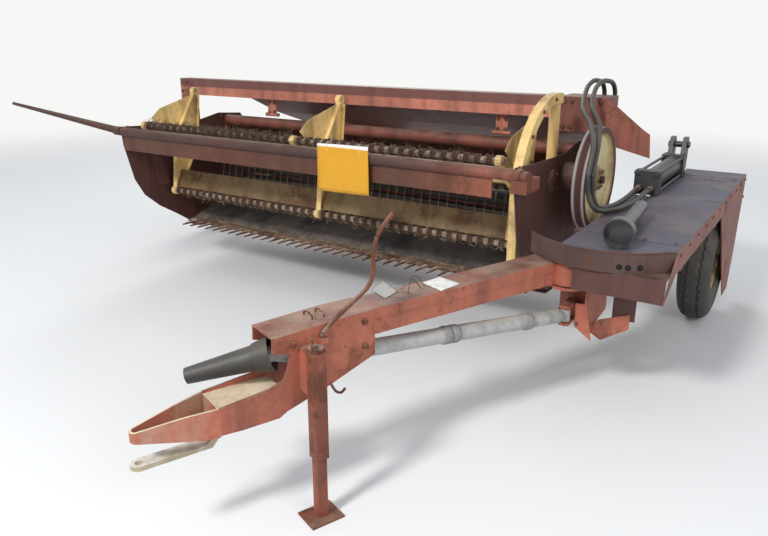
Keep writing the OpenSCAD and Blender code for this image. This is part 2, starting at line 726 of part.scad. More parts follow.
// Arm from the end sheet back to the lift hinge
module lift_arm(s) difference() {
    union() {
        side_plate(s * (header_x - 90) - 14, s * (header_x - 90) + 14, [
            [720, lift_z - 30], [lift_y, lift_z - 34], [lift_y, lift_z + 34], [720, lift_z + 30]
        ]);
        x_bar(s * (header_x - 90) - 14, s * (header_x - 90) + 14, lift_y, lift_z, 68);
        block([s > 0 ? header_x - 104 : -header_x + sheet_t, 686, lift_z - 30],
            [s > 0 ? header_x - sheet_t : -header_x + 104, 720, lift_z + 30]);
        block([s > 0 ? header_x - 46 : -header_x + sheet_t, 600, lift_z - 30],
            [s > 0 ? header_x - sheet_t : -header_x + 46, 690, lift_z + 30]);
    }
    x_bar(s * (header_x - 90) - 20, s * (header_x - 90) + 20, lift_y, lift_z, lift_pin_d + 2 * fit);
}
// Skid shoe under the end of the cutter bar
module skid_shoe(s)
    side_plate(s > 0 ? header_x - sheet_t - 90 : -header_x, s > 0 ? header_x : -header_x + sheet_t + 90, [
        [-75, sickle_z - 18], [-75, sickle_z - 24], [-30, sickle_z - 42], [270, sickle_z - 48],
        [360, sickle_z - 20], [356, sickle_z - 15], [268, sickle_z - 42], [100, sickle_z - 39],
        [100, sickle_z - 19], [92, sickle_z - 19], [92, sickle_z - 38], [-28, sickle_z - 36]
    ]);
module right_end_sheet() color(maroon) {
    end_sheet(-1);
    lift_arm(-1);
    skid_shoe(-1);
    side_plate(-header_x, -header_x + 26, [
        [-400, 970], [-372, 889], [-318, 760], [-290, 624], [-205, 632], [-240, 780], [-300, 894], [-318, 970]
    ]);
}
module left_end_sheet() color(maroon) {
    end_sheet(1);
    lift_arm(1);
    skid_shoe(1);
}

module floor_pan() color(rust)
    side_plate(-header_x + sheet_t, header_x - sheet_t, [
        [0, sickle_z - 6], [0, sickle_z - 2], [300, sickle_z + 116], [330, sickle_z + 116], [330, sickle_z + 110],
        [302, sickle_z + 110]
    ]);

guard_n = floor((header_w - 2 * sheet_t - 20) / guard_pitch);
module cutter_bar() color(rust) {
    block([-header_x + sheet_t, -60, sickle_z - 14], [header_x - sheet_t, 0, sickle_z - 4]);
    for (i = [0 : guard_n - 1])
        translate([(i - (guard_n - 1) / 2) * guard_pitch, -60, sickle_z - 14]) linear_extrude(10)
            polygon([[-14, 0], [-10, -40], [0, -guard_l], [10, -40], [14, 0]]);
}

module knife() color(grey) {
    half = header_x - sheet_t - knife_stroke - 10;
    n = floor(2 * half / guard_pitch);
    z = sickle_z - 4 + seat;
    block([-half, -22, z], [half, -2, z + 5]);
    for (i = [0 : n - 1])
        translate([(i - (n - 1) / 2) * guard_pitch, -22, z]) linear_extrude(3)
            polygon([[-guard_pitch / 2 + 1, 0], [-7, -62], [7, -62], [guard_pitch / 2 - 1, 0]]);
}

module push_bar() color(maroon) {
    bent_bar([[-header_x + sheet_t, push_y, push_z], [push_x1, push_y, push_z], push_end], push_d);
    block([-header_x + sheet_t, push_y - 4, push_z - push_d / 2 - push_skirt_h],
        [push_x1 - 60, push_y + 4, push_z - 20]);
    block([header_x, push_y - 60, push_z - 75], [header_x + 75, -440, push_z - 15]);
    along = push_end - [push_x1, push_y, push_z];
    strut([push_x1, push_y, push_z] + 0.58 * along, [push_x1, push_y, push_z] + 0.76 * along,
        push_d + 16, push_d + 16);
}

module divider() color(maroon) {
    x_bar(-header_x - 60, -header_x, push_y - 5, push_z + 5, 58);
    strut(divider_root, divider_tip, 50, 2 * divider_tip_r);
}

// Yellow band round the reel's left end, with its upright spoke
module reel_arch() color(cream) {
    x0 = header_x - 75;
    cy = 40;
    cz = 890;
    intersection() {
        difference() {
            x_bar(x0, x0 + 45, cy, cz, 2 * arch_r);
            x_bar(x0 - 1, x0 + 46, cy, cz, 2 * arch_r - 2 * arch_w);
        }
        side_plate(x0, x0 + 45, [[cy, cz], [140, cz + 700], [-700, cz + 700], [-700, cz]]);
    }
    block([x0, cy - arch_r, 560], [x0 + 45, cy - arch_r + arch_w, cz]);
    block([x0, 30, reel_z + 60], [x0 + 45, 70, cz + arch_r - 20]);
    block([x0 + 45, cy - arch_r, 700], [header_x - sheet_t, cy - arch_r + arch_w, 760]);
    block([x0 + 45, 30, 990], [header_x - sheet_t, 70, 1030]);
}

// Hood over the upper roll, with the cross tube that ties the end sheets together
module roll_housing() color(steel) {
    x_bar(-header_x + sheet_t, header_x - sheet_t, 420, 1020, 76);
    side_plate(-header_x + sheet_t, header_x - sheet_t, [
        [440, 1045], [440, 1050], [640, 960], [690, 860], [684, 858], [636, 955]
    ]);
}

pulley_x0 = header_x + 195 - pulley_w;
module drive_housing() color(maroon) {
    x_bar(header_x, pulley_x0 - 8, pulley_y, pulley_z, 150);
    x_bar(pulley_x0 - 8, pulley_x0 + pulley_w + 20, pulley_y, pulley_z, 40);
}

module pulley() color(cream) {
    x0 = pulley_x0;
    w = pulley_w;
    r = pulley_d / 2;
    translate([x0, pulley_y, pulley_z]) rotate([0, 90, 0]) rotate_extrude($fn = 72) polygon([
        [20 + fit, 0], [55, 0], [60, w / 2 - 6], [r - 40, w / 2 - 6], [r - 34, 0], [r, 0], [r, w / 2 - 20],
        [r - 16, w / 2], [r, w / 2 + 20], [r, w], [r - 34, w], [r - 40, w / 2 + 6], [60, w / 2 + 6],
        [55, w], [20 + fit, w]
    ]);
}

// Reel, drawn round its own axle
module on_reel() translate([0, reel_y, reel_z]) children();

// One spider arm: a tapered sheet with turned edges and a bearing eye at its tip
module spider_arm(a, side) rotate([a, 0, 0]) {
    r0 = reel_tube_d / 2 - 6;
    r1 = reel_r - bar_d / 2 - 2;
    turn = side > 0 ? [-30, 0] : [0, 30];
    side_plate(-spider_t / 2, spider_t / 2, [[r0, -100], [r0, 100], [r1, 26], [r1, -26]]);
    for (s = [-1, 1])
        side_plate(turn[0], turn[1], [[r0 + 4, s * 92], [r0 + 4, s * 99], [r1 - 3, s * 27], [r1 - 3, s * 20]]);
    x_bar(-16, 16, reel_r, 0, bar_d + 22);
}

module reel_axle() color(cream) on_reel() difference() {
    union() {
        x_bar(reel_x0 - 20, reel_x1 + 20, 0, 0, reel_tube_d);
        x_bar(-header_x + 0.5, header_x - 0.5, 0, 0, 40);
        for (x = [reel_x0, reel_mid, reel_x1])
            for (a = arm_angles)
                translate([x, 0, 0]) spider_arm(a, x > reel_mid ? 1 : -1);
    }
    for (a = arm_angles)
        for (x = [reel_x0, reel_mid, reel_x1])
            rotate([a, 0, 0]) x_bar(x - 40, x + 40, reel_r, 0, bar_d + 2 * fit);
}

// Boards between the spiders, along the arms that carry a bar
module reel_boards() color(cream) on_reel()
    for (b = bars)
        for (x = [[reel_x0 + 16, reel_mid - 16], [reel_mid + 16, reel_x1 - 16]])
            rotate([b[0], 0, 0])
                side_plate(x[0], x[1], [
                    [reel_r - 28 - board_w, -2], [reel_r - 28, -2], [reel_r - 28, 14], [reel_r - 32, 14],
                    [reel_r - 32, 3], [reel_r - 28 - board_w, 3]
                ]);

module tine_bars() color(rust) on_reel()
    for (b = bars) {
        c = [0, reel_r * cos(b[0]), reel_r * sin(b[0])];
        x_bar(reel_x0 - 25, reel_x1 + 25, c[1], c[2], bar_d);
        for (x = [[reel_x0 + 50, reel_mid - 50], [reel_mid + 50, reel_x1 - 50]])
            for (i = [0 : tines_half - 1])
                translate([x[0] + (x[1] - x[0]) * i / (tines_half - 1), c[1], c[2]])
                    rotate([b[1], 0, 0]) rotate([-90, 0, 0]) cylinder(d = tine_d, h = tine_l, $fn = 6);
    }

// Section of a roll's lug at height x along the roll, turned by angle a
function lug_ring(x, a) = [
    for (p = [[roll_d / 2 - lug_h - 14, -15], [roll_d / 2, -10], [roll_d / 2, 10], [roll_d / 2 - lug_h - 14, 15]])
        [x, p[0] * cos(a) - p[1] * sin(a), p[0] * sin(a) + p[1] * cos(a)]
];

// Conditioning roll with chevron lugs that lean the given angle by the middle
module roll(y, z, turn, lean) translate([0, y, z]) {
    x_bar(-roll_x, roll_x, 0, 0, roll_d - 2 * lug_h);
    for (i = [0 : lug_n - 1])
        skin([for (k = [[-roll_x + 2, 0], [0, lean], [roll_x - 2, 0]]) lug_ring(k[0], turn + 360 * i / lug_n + k[1])]);
    x_bar(-header_x + 0.5, header_x - 0.5, 0, 0, roll_shaft_d);
}
module roll_upper() color(black) roll(roll_y, roll_z, 0, lug_lean);
module roll_lower() color(black) roll(roll_low_y, roll_low_z, 180 / lug_n, -lug_lean);

// Wheels

module tyre(x) {
    r1 = tyre_d / 2;
    r0 = rim_d / 2 + seat;
    sh = 45;
    translate([x, wheel_y, axle_z]) rotate([0, 90, 0]) rotate_extrude($fn = 72) {
        translate([r0, -tyre_w / 2 + 12]) square([r1 - sh - r0, tyre_w - 24]);
        translate([r0 + 30, -tyre_w / 2]) square([r1 - sh - r0 - 30, tyre_w]);
        translate([r1 - sh - 1, -tyre_w / 2 + sh]) square([sh + 1, tyre_w - 2 * sh]);
        for (s = [-1, 1])
            translate([r1 - sh, s * (tyre_w / 2 - sh)]) circle(r = sh);
    }
}

module rim(x, s) {
    r = rim_d / 2;
    w = tyre_w - 60;
    translate([x, wheel_y, axle_z]) rotate([0, s * 90, 0]) rotate_extrude($fn = 72) polygon([
        [spindle_d / 2 + fit, -60], [55, -60], [55, 10], [90, 20], [r - 20, 5], [r - 12, -w / 2], [r, -w / 2],
        [r, w / 2], [r - 12, w / 2], [r - 20, 12], [90, 28], [50, 18], [42, 60], [spindle_d / 2 + fit, 60]
    ]);
}

module tyre_left() color(black) tyre(wheel_left_x);
module tyre_right() color(black) tyre(wheel_right_x);
module rim_left() color(grey) rim(wheel_left_x, 1);
module rim_right() color(grey) rim(wheel_right_x, -1);

module placed() translate([-outline_x, -outline_y, 0]) children();

placed() main_beam();
placed() left_shoulder();
placed() shoulder_shield();
placed() right_leg();
placed() left_leg();
placed() right_rail();
placed() side_rail();
placed() lower_beam();
placed() axle_left();
placed() axle_right();
placed() tongue_clevis();
placed() gearbox();
placed() deck_top();
placed() deck_front_band();
placed() deck_skirt();
placed() deck_channels();
placed() shaft_guard();
placed() rear_hood();
placed() windrow_shield_left();
placed() windrow_shield_right();
placed() hose_left();
placed() hose_right();
placed() loose_cylinder();
placed() cylinder_clevis();
placed() tongue_beam();
placed() gooseneck();
placed() hitch_trough();
placed() hitch_strap();
placed() jack_sleeve();
placed() hose_holder();
placed() pto_shaft();
placed() driveline();
placed() jack_leg();
placed() right_end_sheet();
placed() left_end_sheet();
placed() floor_pan();
placed() cutter_bar();
placed() push_bar();
placed() divider();
placed() reel_arch();
placed() roll_housing();
placed() drive_housing();
placed() knife();
placed() reel_axle();
placed() reel_boards();
placed() tine_bars();
placed() roll_upper();
placed() roll_lower();
placed() pulley();
placed() tyre_left();
placed() rim_left();
placed() tyre_right();
placed() rim_right();
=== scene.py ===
"""Looks of a weathered pull-type mower conditioner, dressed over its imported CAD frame."""
import functools
import itertools
import math

import bpy
import numpy as np
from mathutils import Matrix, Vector
from mathutils.bvhtree import BVHTree


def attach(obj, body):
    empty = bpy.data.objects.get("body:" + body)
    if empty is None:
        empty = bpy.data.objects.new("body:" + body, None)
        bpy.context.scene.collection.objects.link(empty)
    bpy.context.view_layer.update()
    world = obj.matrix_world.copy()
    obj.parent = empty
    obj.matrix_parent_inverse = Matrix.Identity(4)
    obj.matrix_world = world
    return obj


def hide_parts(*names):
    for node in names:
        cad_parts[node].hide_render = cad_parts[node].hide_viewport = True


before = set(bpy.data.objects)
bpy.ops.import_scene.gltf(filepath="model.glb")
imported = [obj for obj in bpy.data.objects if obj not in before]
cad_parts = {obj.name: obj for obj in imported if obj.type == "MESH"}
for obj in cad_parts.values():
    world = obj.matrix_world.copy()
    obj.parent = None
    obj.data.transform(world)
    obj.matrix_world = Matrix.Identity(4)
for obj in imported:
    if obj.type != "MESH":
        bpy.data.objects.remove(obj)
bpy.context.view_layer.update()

bl_info = {
    "name": "Mower Conditioner Looks",
    "version": (1, 0, 0),
    "blender": (4, 5, 0),
    "location": "View3D > Sidebar > Mower",
    "description": "Adds tyres, tines, hay, fasteners and weathered paint to a mower conditioner",
    "category": "Object",
}


# Places, in metres from the middle of the cutter bar: X to the machine's left, Y to the rear, Z up

# How far the machine's outline middle lies from the middle of its cutter bar
SHIFT = np.array([0.02680, 0.42427, 0.0])


def place(x, y, z):
    """A point measured from the middle of the cutter bar, moved into the frame."""
    return np.array([x, y, z], float) + SHIFT


def places(rows):
    """Several such points, one in each row."""
    return np.array(list(rows), float) + SHIFT


def lattice(xs, ys, zs):
    """Every point whose coordinates are taken from three lists or single numbers."""
    return places(itertools.product(*map(np.atleast_1d, (xs, ys, zs))))


def ring_across(x, y, z, radius, angles):
    """Points round a circle across X, at angles counted from the rear towards the top."""
    return place(x, y, z) + radius * np.stack([0 * angles, np.cos(angles), np.sin(angles)], 1)


LEFT, RIGHT = (1, 0, 0), (-1, 0, 0)
FRONT, REAR = (0, -1, 0), (0, 1, 0)
UP, DOWN = (0, 0, 1), (0, 0, -1)

# The tongue's pivot on the frame and its angle at rest
PIVOT = place(1.720, -0.660, 0.0)
SWING = math.radians(22.0)
# How far the gooseneck's middle lies to the right of the pivot, and the height of the tongue's top
GOOSENECK = -0.085
TONGUE_TOP = 0.7055

# The reel's axis, the circle of its bars, its arms' angles and its spiders' places along the axis
REEL = place(0.0, -0.070, 0.920)
REEL_RADIUS = 0.360
ARMS = [70, 157, 250, 340]
SPIDERS = [-1.340, -0.045, 1.250]
# Angle of each arm that carries tines, and the angle at which its tines point
TINE_BARS = [(157, 280), (250, 332), (340, 258)]
TINE_PLACES = np.r_[np.linspace(-1.290, -0.095, 20), np.linspace(0.005, 1.200, 20)]

# Bearings of reel, upper and lower roll on both end sheets: y, z, cap's radius and height, bolt head
BEARINGS = [(-0.070, 0.920, 0.062, 0.012, 0.017), (0.545, 0.732, 0.050, 0.005, 0.011),
            (0.515, 0.4637, 0.050, 0.005, 0.011)]

# Middle of each wheel's width, and the way in which it looks outwards
WHEELS = {"left": (2.045, 1), "right": (-1.930, -1)}
WHEEL_Y, WHEEL_Z = 0.880, 0.360
# Middle of the arc of the deck's front band
BAND_X, BAND_Y = 1.830, -0.380
# Axis of the loose cylinder on the deck
CYLINDER_X, CYLINDER_Z = 1.759, 0.8663

HOSE_ROUTES = {
    "hose_left": [
        (1.500, 0.595, 1.2253), (1.500, 0.595, 1.290), (1.500, 0.580, 1.345), (1.497, 0.540, 1.385),
        (1.490, 0.485, 1.400), (1.478, 0.400, 1.402), (1.474, 0.300, 1.368), (1.510, 0.150, 1.290),
        (1.590, 0.030, 1.215), (1.630, -0.090, 1.130), (1.638, -0.160, 1.010), (1.645, -0.165, 0.920),
        (1.672, -0.150, 0.838), (1.712, -0.040, 0.826), (1.725, 0.160, 0.828), (1.728, 0.340, 0.842),
        (1.728, 0.3997, 0.842),
    ],
    "hose_right": [
        (1.440, 0.595, 1.2253), (1.440, 0.595, 1.290), (1.440, 0.580, 1.345), (1.438, 0.540, 1.385),
        (1.434, 0.485, 1.400), (1.426, 0.400, 1.402), (1.426, 0.300, 1.366), (1.470, 0.130, 1.280),
        (1.560, -0.010, 1.215), (1.625, -0.150, 1.130), (1.632, -0.215, 1.010), (1.640, -0.215, 0.915),
        (1.680, -0.200, 0.835), (1.745, -0.090, 0.822), (1.782, 0.120, 0.826), (1.790, 0.340, 0.842),
        (1.790, 0.3997, 0.842),
    ],
}


def on_tongue(across, ahead, height):
    """A point of the tongue: metres to its left of the pivot, ahead of the pivot, height."""
    c, s = math.cos(SWING), math.sin(SWING)
    return PIVOT + np.array([across * c - ahead * s, -across * s - ahead * c, height])


def on_reel(angle, radius, x=0.0):
    """A point of the reel at an angle counted from the rear towards the top."""
    a = np.radians(angle)
    return REEL + np.stack(np.broadcast_arrays(x, radius * np.cos(a), radius * np.sin(a)), -1)


def side_name(side):
    """The machine's side for a sign: 1 is its left, -1 its right."""
    return "left" if side > 0 else "right"


# Sizes and colours that a user may change

def length(name, text, value):
    """A size in metres."""
    return bpy.props.FloatProperty(name=name, description=text, default=value, min=0.0, subtype="DISTANCE",
                                   unit="LENGTH")


def colour(name, text, red, green, blue):
    """A colour given as it shows on a screen, from 0 to 255, and kept as linear light."""
    linear = [((v / 255 + 0.055) / 1.055) ** 2.4 if v > 10 else v / 255 / 12.92 for v in (red, green, blue)]
    return bpy.props.FloatVectorProperty(name=name, description=text, default=linear, subtype="COLOR", size=3,
                                         min=0.0, max=1.0)


class MowerSizes(bpy.types.PropertyGroup):
    """Sizes of the dressing"""
    hose: length("Hose diameter", "Outer diameter of both hydraulic hoses", 0.026)
    tread: length("Tread depth", "Depth of the ribs on the tyres", 0.011)
    bolt: length("Bolt head", "Width across a bolt head", 0.019)
    coil: length("Tine coil", "Outer diameter of the coil of a reel tine", 0.056)
    straw: length("Straw length", "Mean length of a stalk of hay", 0.075)


class MowerColours(bpy.types.PropertyGroup):
    """Colours of the finishes"""
    red: colour("Red paint", "Chalked brick red paint", 161, 90, 68)
    # The dull red also paints the shade of the beam's top band
    red_dull: colour("Dull red", "Dusty top faces of the red paint", 96, 62, 58)
    maroon: colour("Dark paint", "Dark weathered red paint", 84, 52, 47)
    cream: colour("Cream paint", "Faded yellow paint of the reel", 240, 204, 134)
    cream_dull: colour("Dirty cream", "Stained yellow paint", 140, 112, 74)
    deck: colour("Deck", "Faded dusty paint of the deck", 78, 78, 92)
    chalk: colour("Chalky grey", "Chalky grey tubes", 158, 156, 152)
    rust: colour("Rust", "Dark brown rust", 86, 50, 34)
    bare: colour("Bare metal", "Worn bare steel", 146, 132, 118)
    pan: colour("Pan", "Grey-brown pan", 62, 57, 60)
    black: colour("Black", "Dusty black rubber and plastic", 34, 35, 38)
    dust: colour("Dust", "Pale dry dust", 196, 182, 156)
    straw: colour("Straw", "Dry hay", 168, 148, 108)
    card: colour("Card", "Blank yellow card", 205, 147, 8)
    blank: colour("Plate", "Blank pale plate", 226, 222, 216)


def settings():
    """The sizes and the colours in use."""
    return bpy.context.scene.mower_sizes, bpy.context.scene.mower_colours


def shade(base, *factors):
    """A colour made brighter or darker, by one factor or by one for each channel."""
    factors = factors * 3 if len(factors) == 1 else factors
    return tuple(min(1.0, v * f) for v, f in zip(base, factors))


# Shader maths

class Value:
    """A socket of a material, with arithmetic that adds Math nodes."""

    def __init__(self, paint, socket):
        self.paint, self.socket = paint, socket

    def maths(self, kind, *others):
        return self.paint.node("Math", {"operation": kind}, *others)

    def __add__(self, other):
        return self.maths("ADD", self, other)

    def __rsub__(self, other):
        return self.maths("SUBTRACT", other, self)

    def __mul__(self, other):
        return self.maths("MULTIPLY", self, other)

    __radd__, __rmul__ = __add__, __mul__

    def clip(self):
        return self.paint.node("Clamp", {}, self)

    def wave(self):
        return self.maths("SINE", self)

    def below(self, limit):
        """1 where the value is less than the limit, 0 elsewhere."""
        return self.maths("LESS_THAN", self, limit)

    def over(self, low, high):
        """Rises smoothly from 0 at low to 1 at high."""
        return self.paint.node("MapRange", {"interpolation_type": "SMOOTHSTEP"}, self, low, high, 0.0, 1.0)


class Paint:
    """A material under way. Each call adds one node and returns its first output."""

    def __init__(self, name):
        self.material = bpy.data.materials.new(name)
        self.material.use_nodes = True
        self.tree = self.material.node_tree
        self.shader = next(n for n in self.tree.nodes if n.type == "BSDF_PRINCIPLED")
        self.spot = Value(self, self.tree.nodes.new("ShaderNodeTexCoord").outputs["Object"])

    def node(self, kind, set_first, *values, output=0, **named):
        made = self.tree.nodes.new("ShaderNode" + kind)
        for key, value in set_first.items():
            setattr(made, key, value)
        for key, value in [*enumerate(values), *named.items()]:
            self.put(made.inputs[key], value)
        return Value(self, made.outputs[output])

    def put(self, socket, value):
        if isinstance(value, Value):
            self.tree.links.new(value.socket, socket)
        elif value is not None:
            socket.default_value = (*value, 1.0) if socket.type == "RGBA" and len(value) == 3 else value

    def vector(self, kind, *values, output=0):
        """Vector maths on colours, places and directions."""
        return self.node("VectorMath", {"operation": kind}, *values, output=output)

    def stretch(self, x, y, z):
        return self.vector("MULTIPLY", self.spot, (x, y, z))

    def noise(self, scale, detail=4.0, rough=0.6, spot=None):
        """Cloudy pattern from about 0.3 to 0.7, scale blotches to the metre."""
        where = spot or self.spot
        return self.node("TexNoise", {}, Vector=where, Scale=scale, Detail=detail, Roughness=rough)

    def cells(self, scale):
        """Distance from the nearest of scattered points, scale points to the metre."""
        return self.node("TexVoronoi", {"feature": "F1"}, Vector=self.spot, Scale=scale)

    def axis(self, which, source=None):
        return self.node("SeparateXYZ", {}, source or self.spot, output=which)

    def facing_up(self):
        """1 on faces that look up, 0 on upright ones and below."""
        return self.axis(2, self.node("NewGeometry", {}, output="Normal"))

    def mix(self, share, first, second):
        made = self.tree.nodes.new("ShaderNodeMix")
        made.data_type = "RGBA"
        self.put(made.inputs[0], share)
        self.put(made.inputs[6], first)
        self.put(made.inputs[7], second)
        return Value(self, made.outputs[2])

    def finish(self, base, rough, bump=None, depth=0.001, metal=None, **fixed):
        """Connects colour, roughness and bump; depth is the relief in metres."""
        self.put(self.shader.inputs["Base Color"], base)
        self.put(self.shader.inputs["Roughness"], rough)
        self.put(self.shader.inputs["Metallic"], metal)
        for name, value in fixed.items():
            self.put(self.shader.inputs[name.replace("_", " ")], value)
        if bump is not None:
            normal = self.node("Bump", {}, Strength=1.0, Distance=depth, Height=bump)
            self.put(self.shader.inputs["Normal"], normal)
        return self.material


FINISHES = {}
# The white that the camera and reflections see behind the machine
WHITE = (0.93, 0.93, 0.92)


def seen_as_white(tree):
    """1 for rays of the camera and of shiny or clear surfaces, and 0 for the light itself."""
    ray = tree.nodes.new("ShaderNodeLightPath")
    share = ray.outputs["Is Camera Ray"]
    for other in ("Is Glossy Ray", "Is Transmission Ray"):
        most = tree.nodes.new("ShaderNodeMath")
        most.operation = "MAXIMUM"
        tree.links.new(share, most.inputs[0])
        tree.links.new(ray.outputs[other], most.inputs[1])
        share = most.outputs[0]
    return share


def old_paint(name, lit, dull, rust, dust, top=0.75, patches=0.5, film=0.3, edge=None, above=None, far=None):
    """Old paint: base colour mottled towards a dull one, most on faces that look up, with rust in
    spots and running streaks, a film of dust above and scratches in the relief. Above the height
    edge it has the colour above, and far is a stretch in x and the colour that it ends in."""
    p = Paint(name)
    cloud = p.noise(2.2, 5.0)
    fine = p.noise(38.0, 6.0, 0.7)
    run = p.noise(9.0, 4.0, 0.55, p.stretch(1.0, 1.0, 0.10))
    broad = p.noise(1.1, 3.0)
    up = p.facing_up()
    worn = (cloud.over(0.42, 0.66) * 0.45 + up.over(0.2, 0.9) * top).clip()
    base = p.mix(broad.over(0.38, 0.62) * 0.6, lit, shade(lit, 1.18, 1.26, 1.30))
    if edge:
        base = p.mix(p.axis(2).over(edge - 0.004, edge + 0.004) * 0.92, base, above)
    if far:
        start, end, ending = far
        base = p.mix(p.axis(0).over(start, end) * (0.6 + 0.4 * cloud.over(0.4, 0.6)), base, ending)
    base = p.mix(worn, base, dull)
    base = p.mix(run.over(0.46, 0.66) * 0.5, base, shade(dull, 0.62))
    base = p.mix(fine.over(0.40, 0.70) * 0.30, base, shade(lit, 0.45))
    spots = p.cells(26.0).over(0.34, 0.06) * p.noise(5.0, 3.0).over(0.5, 0.62)
    scab = p.noise(3.4, 8.0, 0.72).over(0.59 - 0.09 * patches, 0.66 - 0.06 * patches)
    rusty = ((spots + scab * 0.85) * (0.55 + 0.6 * fine)).clip() * patches
    base = p.mix(rusty, base, rust)
    dusty = (up.over(0.4, 0.95) * p.noise(6.0, 5.0).over(0.34, 0.66) * film).clip()
    base = p.mix(dusty, base, dust)
    rough = (0.52 + 0.3 * rusty + 0.18 * dusty + 0.1 * fine).clip()
    relief = fine * 0.35 + rusty * 0.5 + p.noise(110.0, 3.0) * 0.25
    return p.finish(base, rough, relief, 0.0012, IOR=1.45)


def flaked_steel(name, bare, rust, dust, shine=0.45, scale=18.0, film=0.3):
    """Rusty steel: dark and orange rust in blotches, worn bright in places, pitted."""
    p = Paint(name)
    blotch = p.noise(scale * 0.35, 7.0, 0.68)
    pits = p.noise(scale * 6.0, 5.0, 0.7)
    worn = p.noise(scale * 0.8, 4.0).over(0.52, 0.66) * shine
    base = p.mix(blotch.over(0.38, 0.64), rust, shade(rust, 1.7, 1.6, 1.5))
    base = p.mix(worn, base, bare)
    base = p.mix(p.facing_up().over(0.5, 0.95) * blotch.over(0.36, 0.56) * film, base, dust)
    rough = (0.85 - 0.35 * worn + 0.1 * pits).clip()
    return p.finish(base, rough, pits * 0.7 + blotch * 0.4, 0.001, metal=worn * 0.7)


def rubber(name, black, dust, grain=60.0, dusty=0.5, gloss=0.55):
    """Rubber or plastic: near black, greyed by dust on top and in its grain, faint scuffs."""
    p = Paint(name)
    cloud = p.noise(9.0, 5.0)
    grit = p.noise(grain, 4.0, 0.7)
    lying = p.facing_up().over(-0.1, 0.9) * 0.4 + 0.2
    film = (lying * (0.45 + 0.55 * cloud.over(0.3, 0.7)) * dusty * 0.8).clip()
    base = p.mix(grit.over(0.4, 0.7) * 0.5, black, tuple(c * 1.9 for c in black))
    base = p.mix(film, base, dust)
    return p.finish(base, (gloss + 0.3 * film + 0.12 * grit).clip(), grit, 0.0006)


def chalked_deck(name, base_colour, rust, dust, red):
    """Deck sheets: faded purple-grey film over red paint, rubbed in long strokes, rust at random."""
    p = Paint(name)
    stroke = p.noise(9.0, 6.0, 0.62, p.stretch(1.0, 0.22, 1.0))
    cloud = p.noise(1.9, 5.0)
    fine = p.noise(55.0, 5.0, 0.7)
    base = p.mix(cloud.over(0.4, 0.66) * 0.34, base_colour, red)
    base = p.mix(stroke.over(0.45, 0.68) * 0.5, base, shade(base_colour, 0.62))
    base = p.mix(p.noise(3.0, 6.0, 0.7).over(0.46, 0.68) * 0.12, base, dust)
    base = p.mix(fine.over(0.45, 0.72) * 0.2, base, shade(base_colour, 0.6))
    scab = p.noise(2.6, 8.0, 0.75).over(0.58, 0.66)
    base = p.mix(scab * 0.5, base, rust)
    relief = fine * 0.5 + stroke * 0.3 + scab * 0.3
    return p.finish(base, (0.5 + 0.25 * fine + 0.2 * scab).clip(), relief, 0.0012)


def disc_paint(name, centre, face, dirt, groove_colour, worn, rust, bolted=0.075, groove=0.240, edge=0.2725):
    """Pulley across X, coloured by the distance from its centre: a cream disc with faint turned
    rings, rusty where it is bolted, a dark groove beyond a radius and a worn edge beyond another."""
    p = Paint(name)
    flat = p.vector("MULTIPLY", p.vector("SUBTRACT", p.spot, tuple(centre)), (0.0, 1.0, 1.0))
    radius = p.vector("LENGTH", flat, output="Value")
    cloud = p.noise(5.0, 6.0, 0.65)
    fine = p.noise(60.0, 5.0, 0.7)
    base = p.mix(cloud.over(0.42, 0.62) * 0.5, face, dirt)
    rings = (radius * 260.0).wave() * 0.5 + 0.5
    base = p.mix(rings.over(0.6, 1.0) * 0.12, base, dirt)
    in_groove = radius.over(groove - 0.003, groove + 0.003)
    base = p.mix(in_groove, base, groove_colour)
    base = p.mix(radius.over(edge - 0.001, edge + 0.001) * 0.8, base, worn)
    base = p.mix(p.noise(5.0, 7.0, 0.7).over(0.60, 0.68) * 0.6, base, rust)
    base = p.mix(radius.below(bolted) * 0.6, base, rust)
    return p.finish(base, (0.5 + 0.3 * fine + 0.1 * in_groove).clip(), fine * 0.5 + cloud * 0.3, 0.001)


def stalks(name, straw):
    """Dry stalks: straw colour that varies from stalk to stalk between pale and dark."""
    p = Paint(name)
    cloud = p.noise(22.0, 4.0, 0.7)
    base = p.mix(cloud.over(0.34, 0.66), shade(straw, 0.28), shade(straw, 1.15))
    return p.finish(base, 0.85, p.noise(200.0, 2.0), 0.0004)


def blank_card(name, face, margin, high):
    """Card: one plain colour with a pale margin below the height of its top, faintly soiled."""
    p = Paint(name)
    edge = p.axis(2).over(high - 0.018, high - 0.012)
    soil = p.noise(14.0, 5.0, 0.65).over(0.45, 0.75) * 0.25
    base = p.mix(edge, face, margin)
    base = p.mix(soil, base, shade(face, 0.55))
    return p.finish(base, (0.42 + soil).clip(), p.noise(30.0, 3.0), 0.0006, Coat_Weight=0.15)


def floor_finish(name):
    """Pale studio floor, which turns white for the camera between 5 and 11 m from its middle."""
    p = Paint(name)
    p.finish((0.80, 0.80, 0.79), 0.9)
    glow = p.node("Emission", {}, WHITE, 1.0)
    far = p.vector("LENGTH", p.spot, output="Value").over(5.0, 11.0)
    share = (Value(p, seen_as_white(p.tree)) * far).clip()
    mixed = p.node("MixShader", {}, share, Value(p, p.shader.outputs[0]), glow)
    out = next(n for n in p.tree.nodes if n.type == "OUTPUT_MATERIAL")
    p.tree.links.new(mixed.socket, out.inputs["Surface"])
    return p.material


# Surfaces

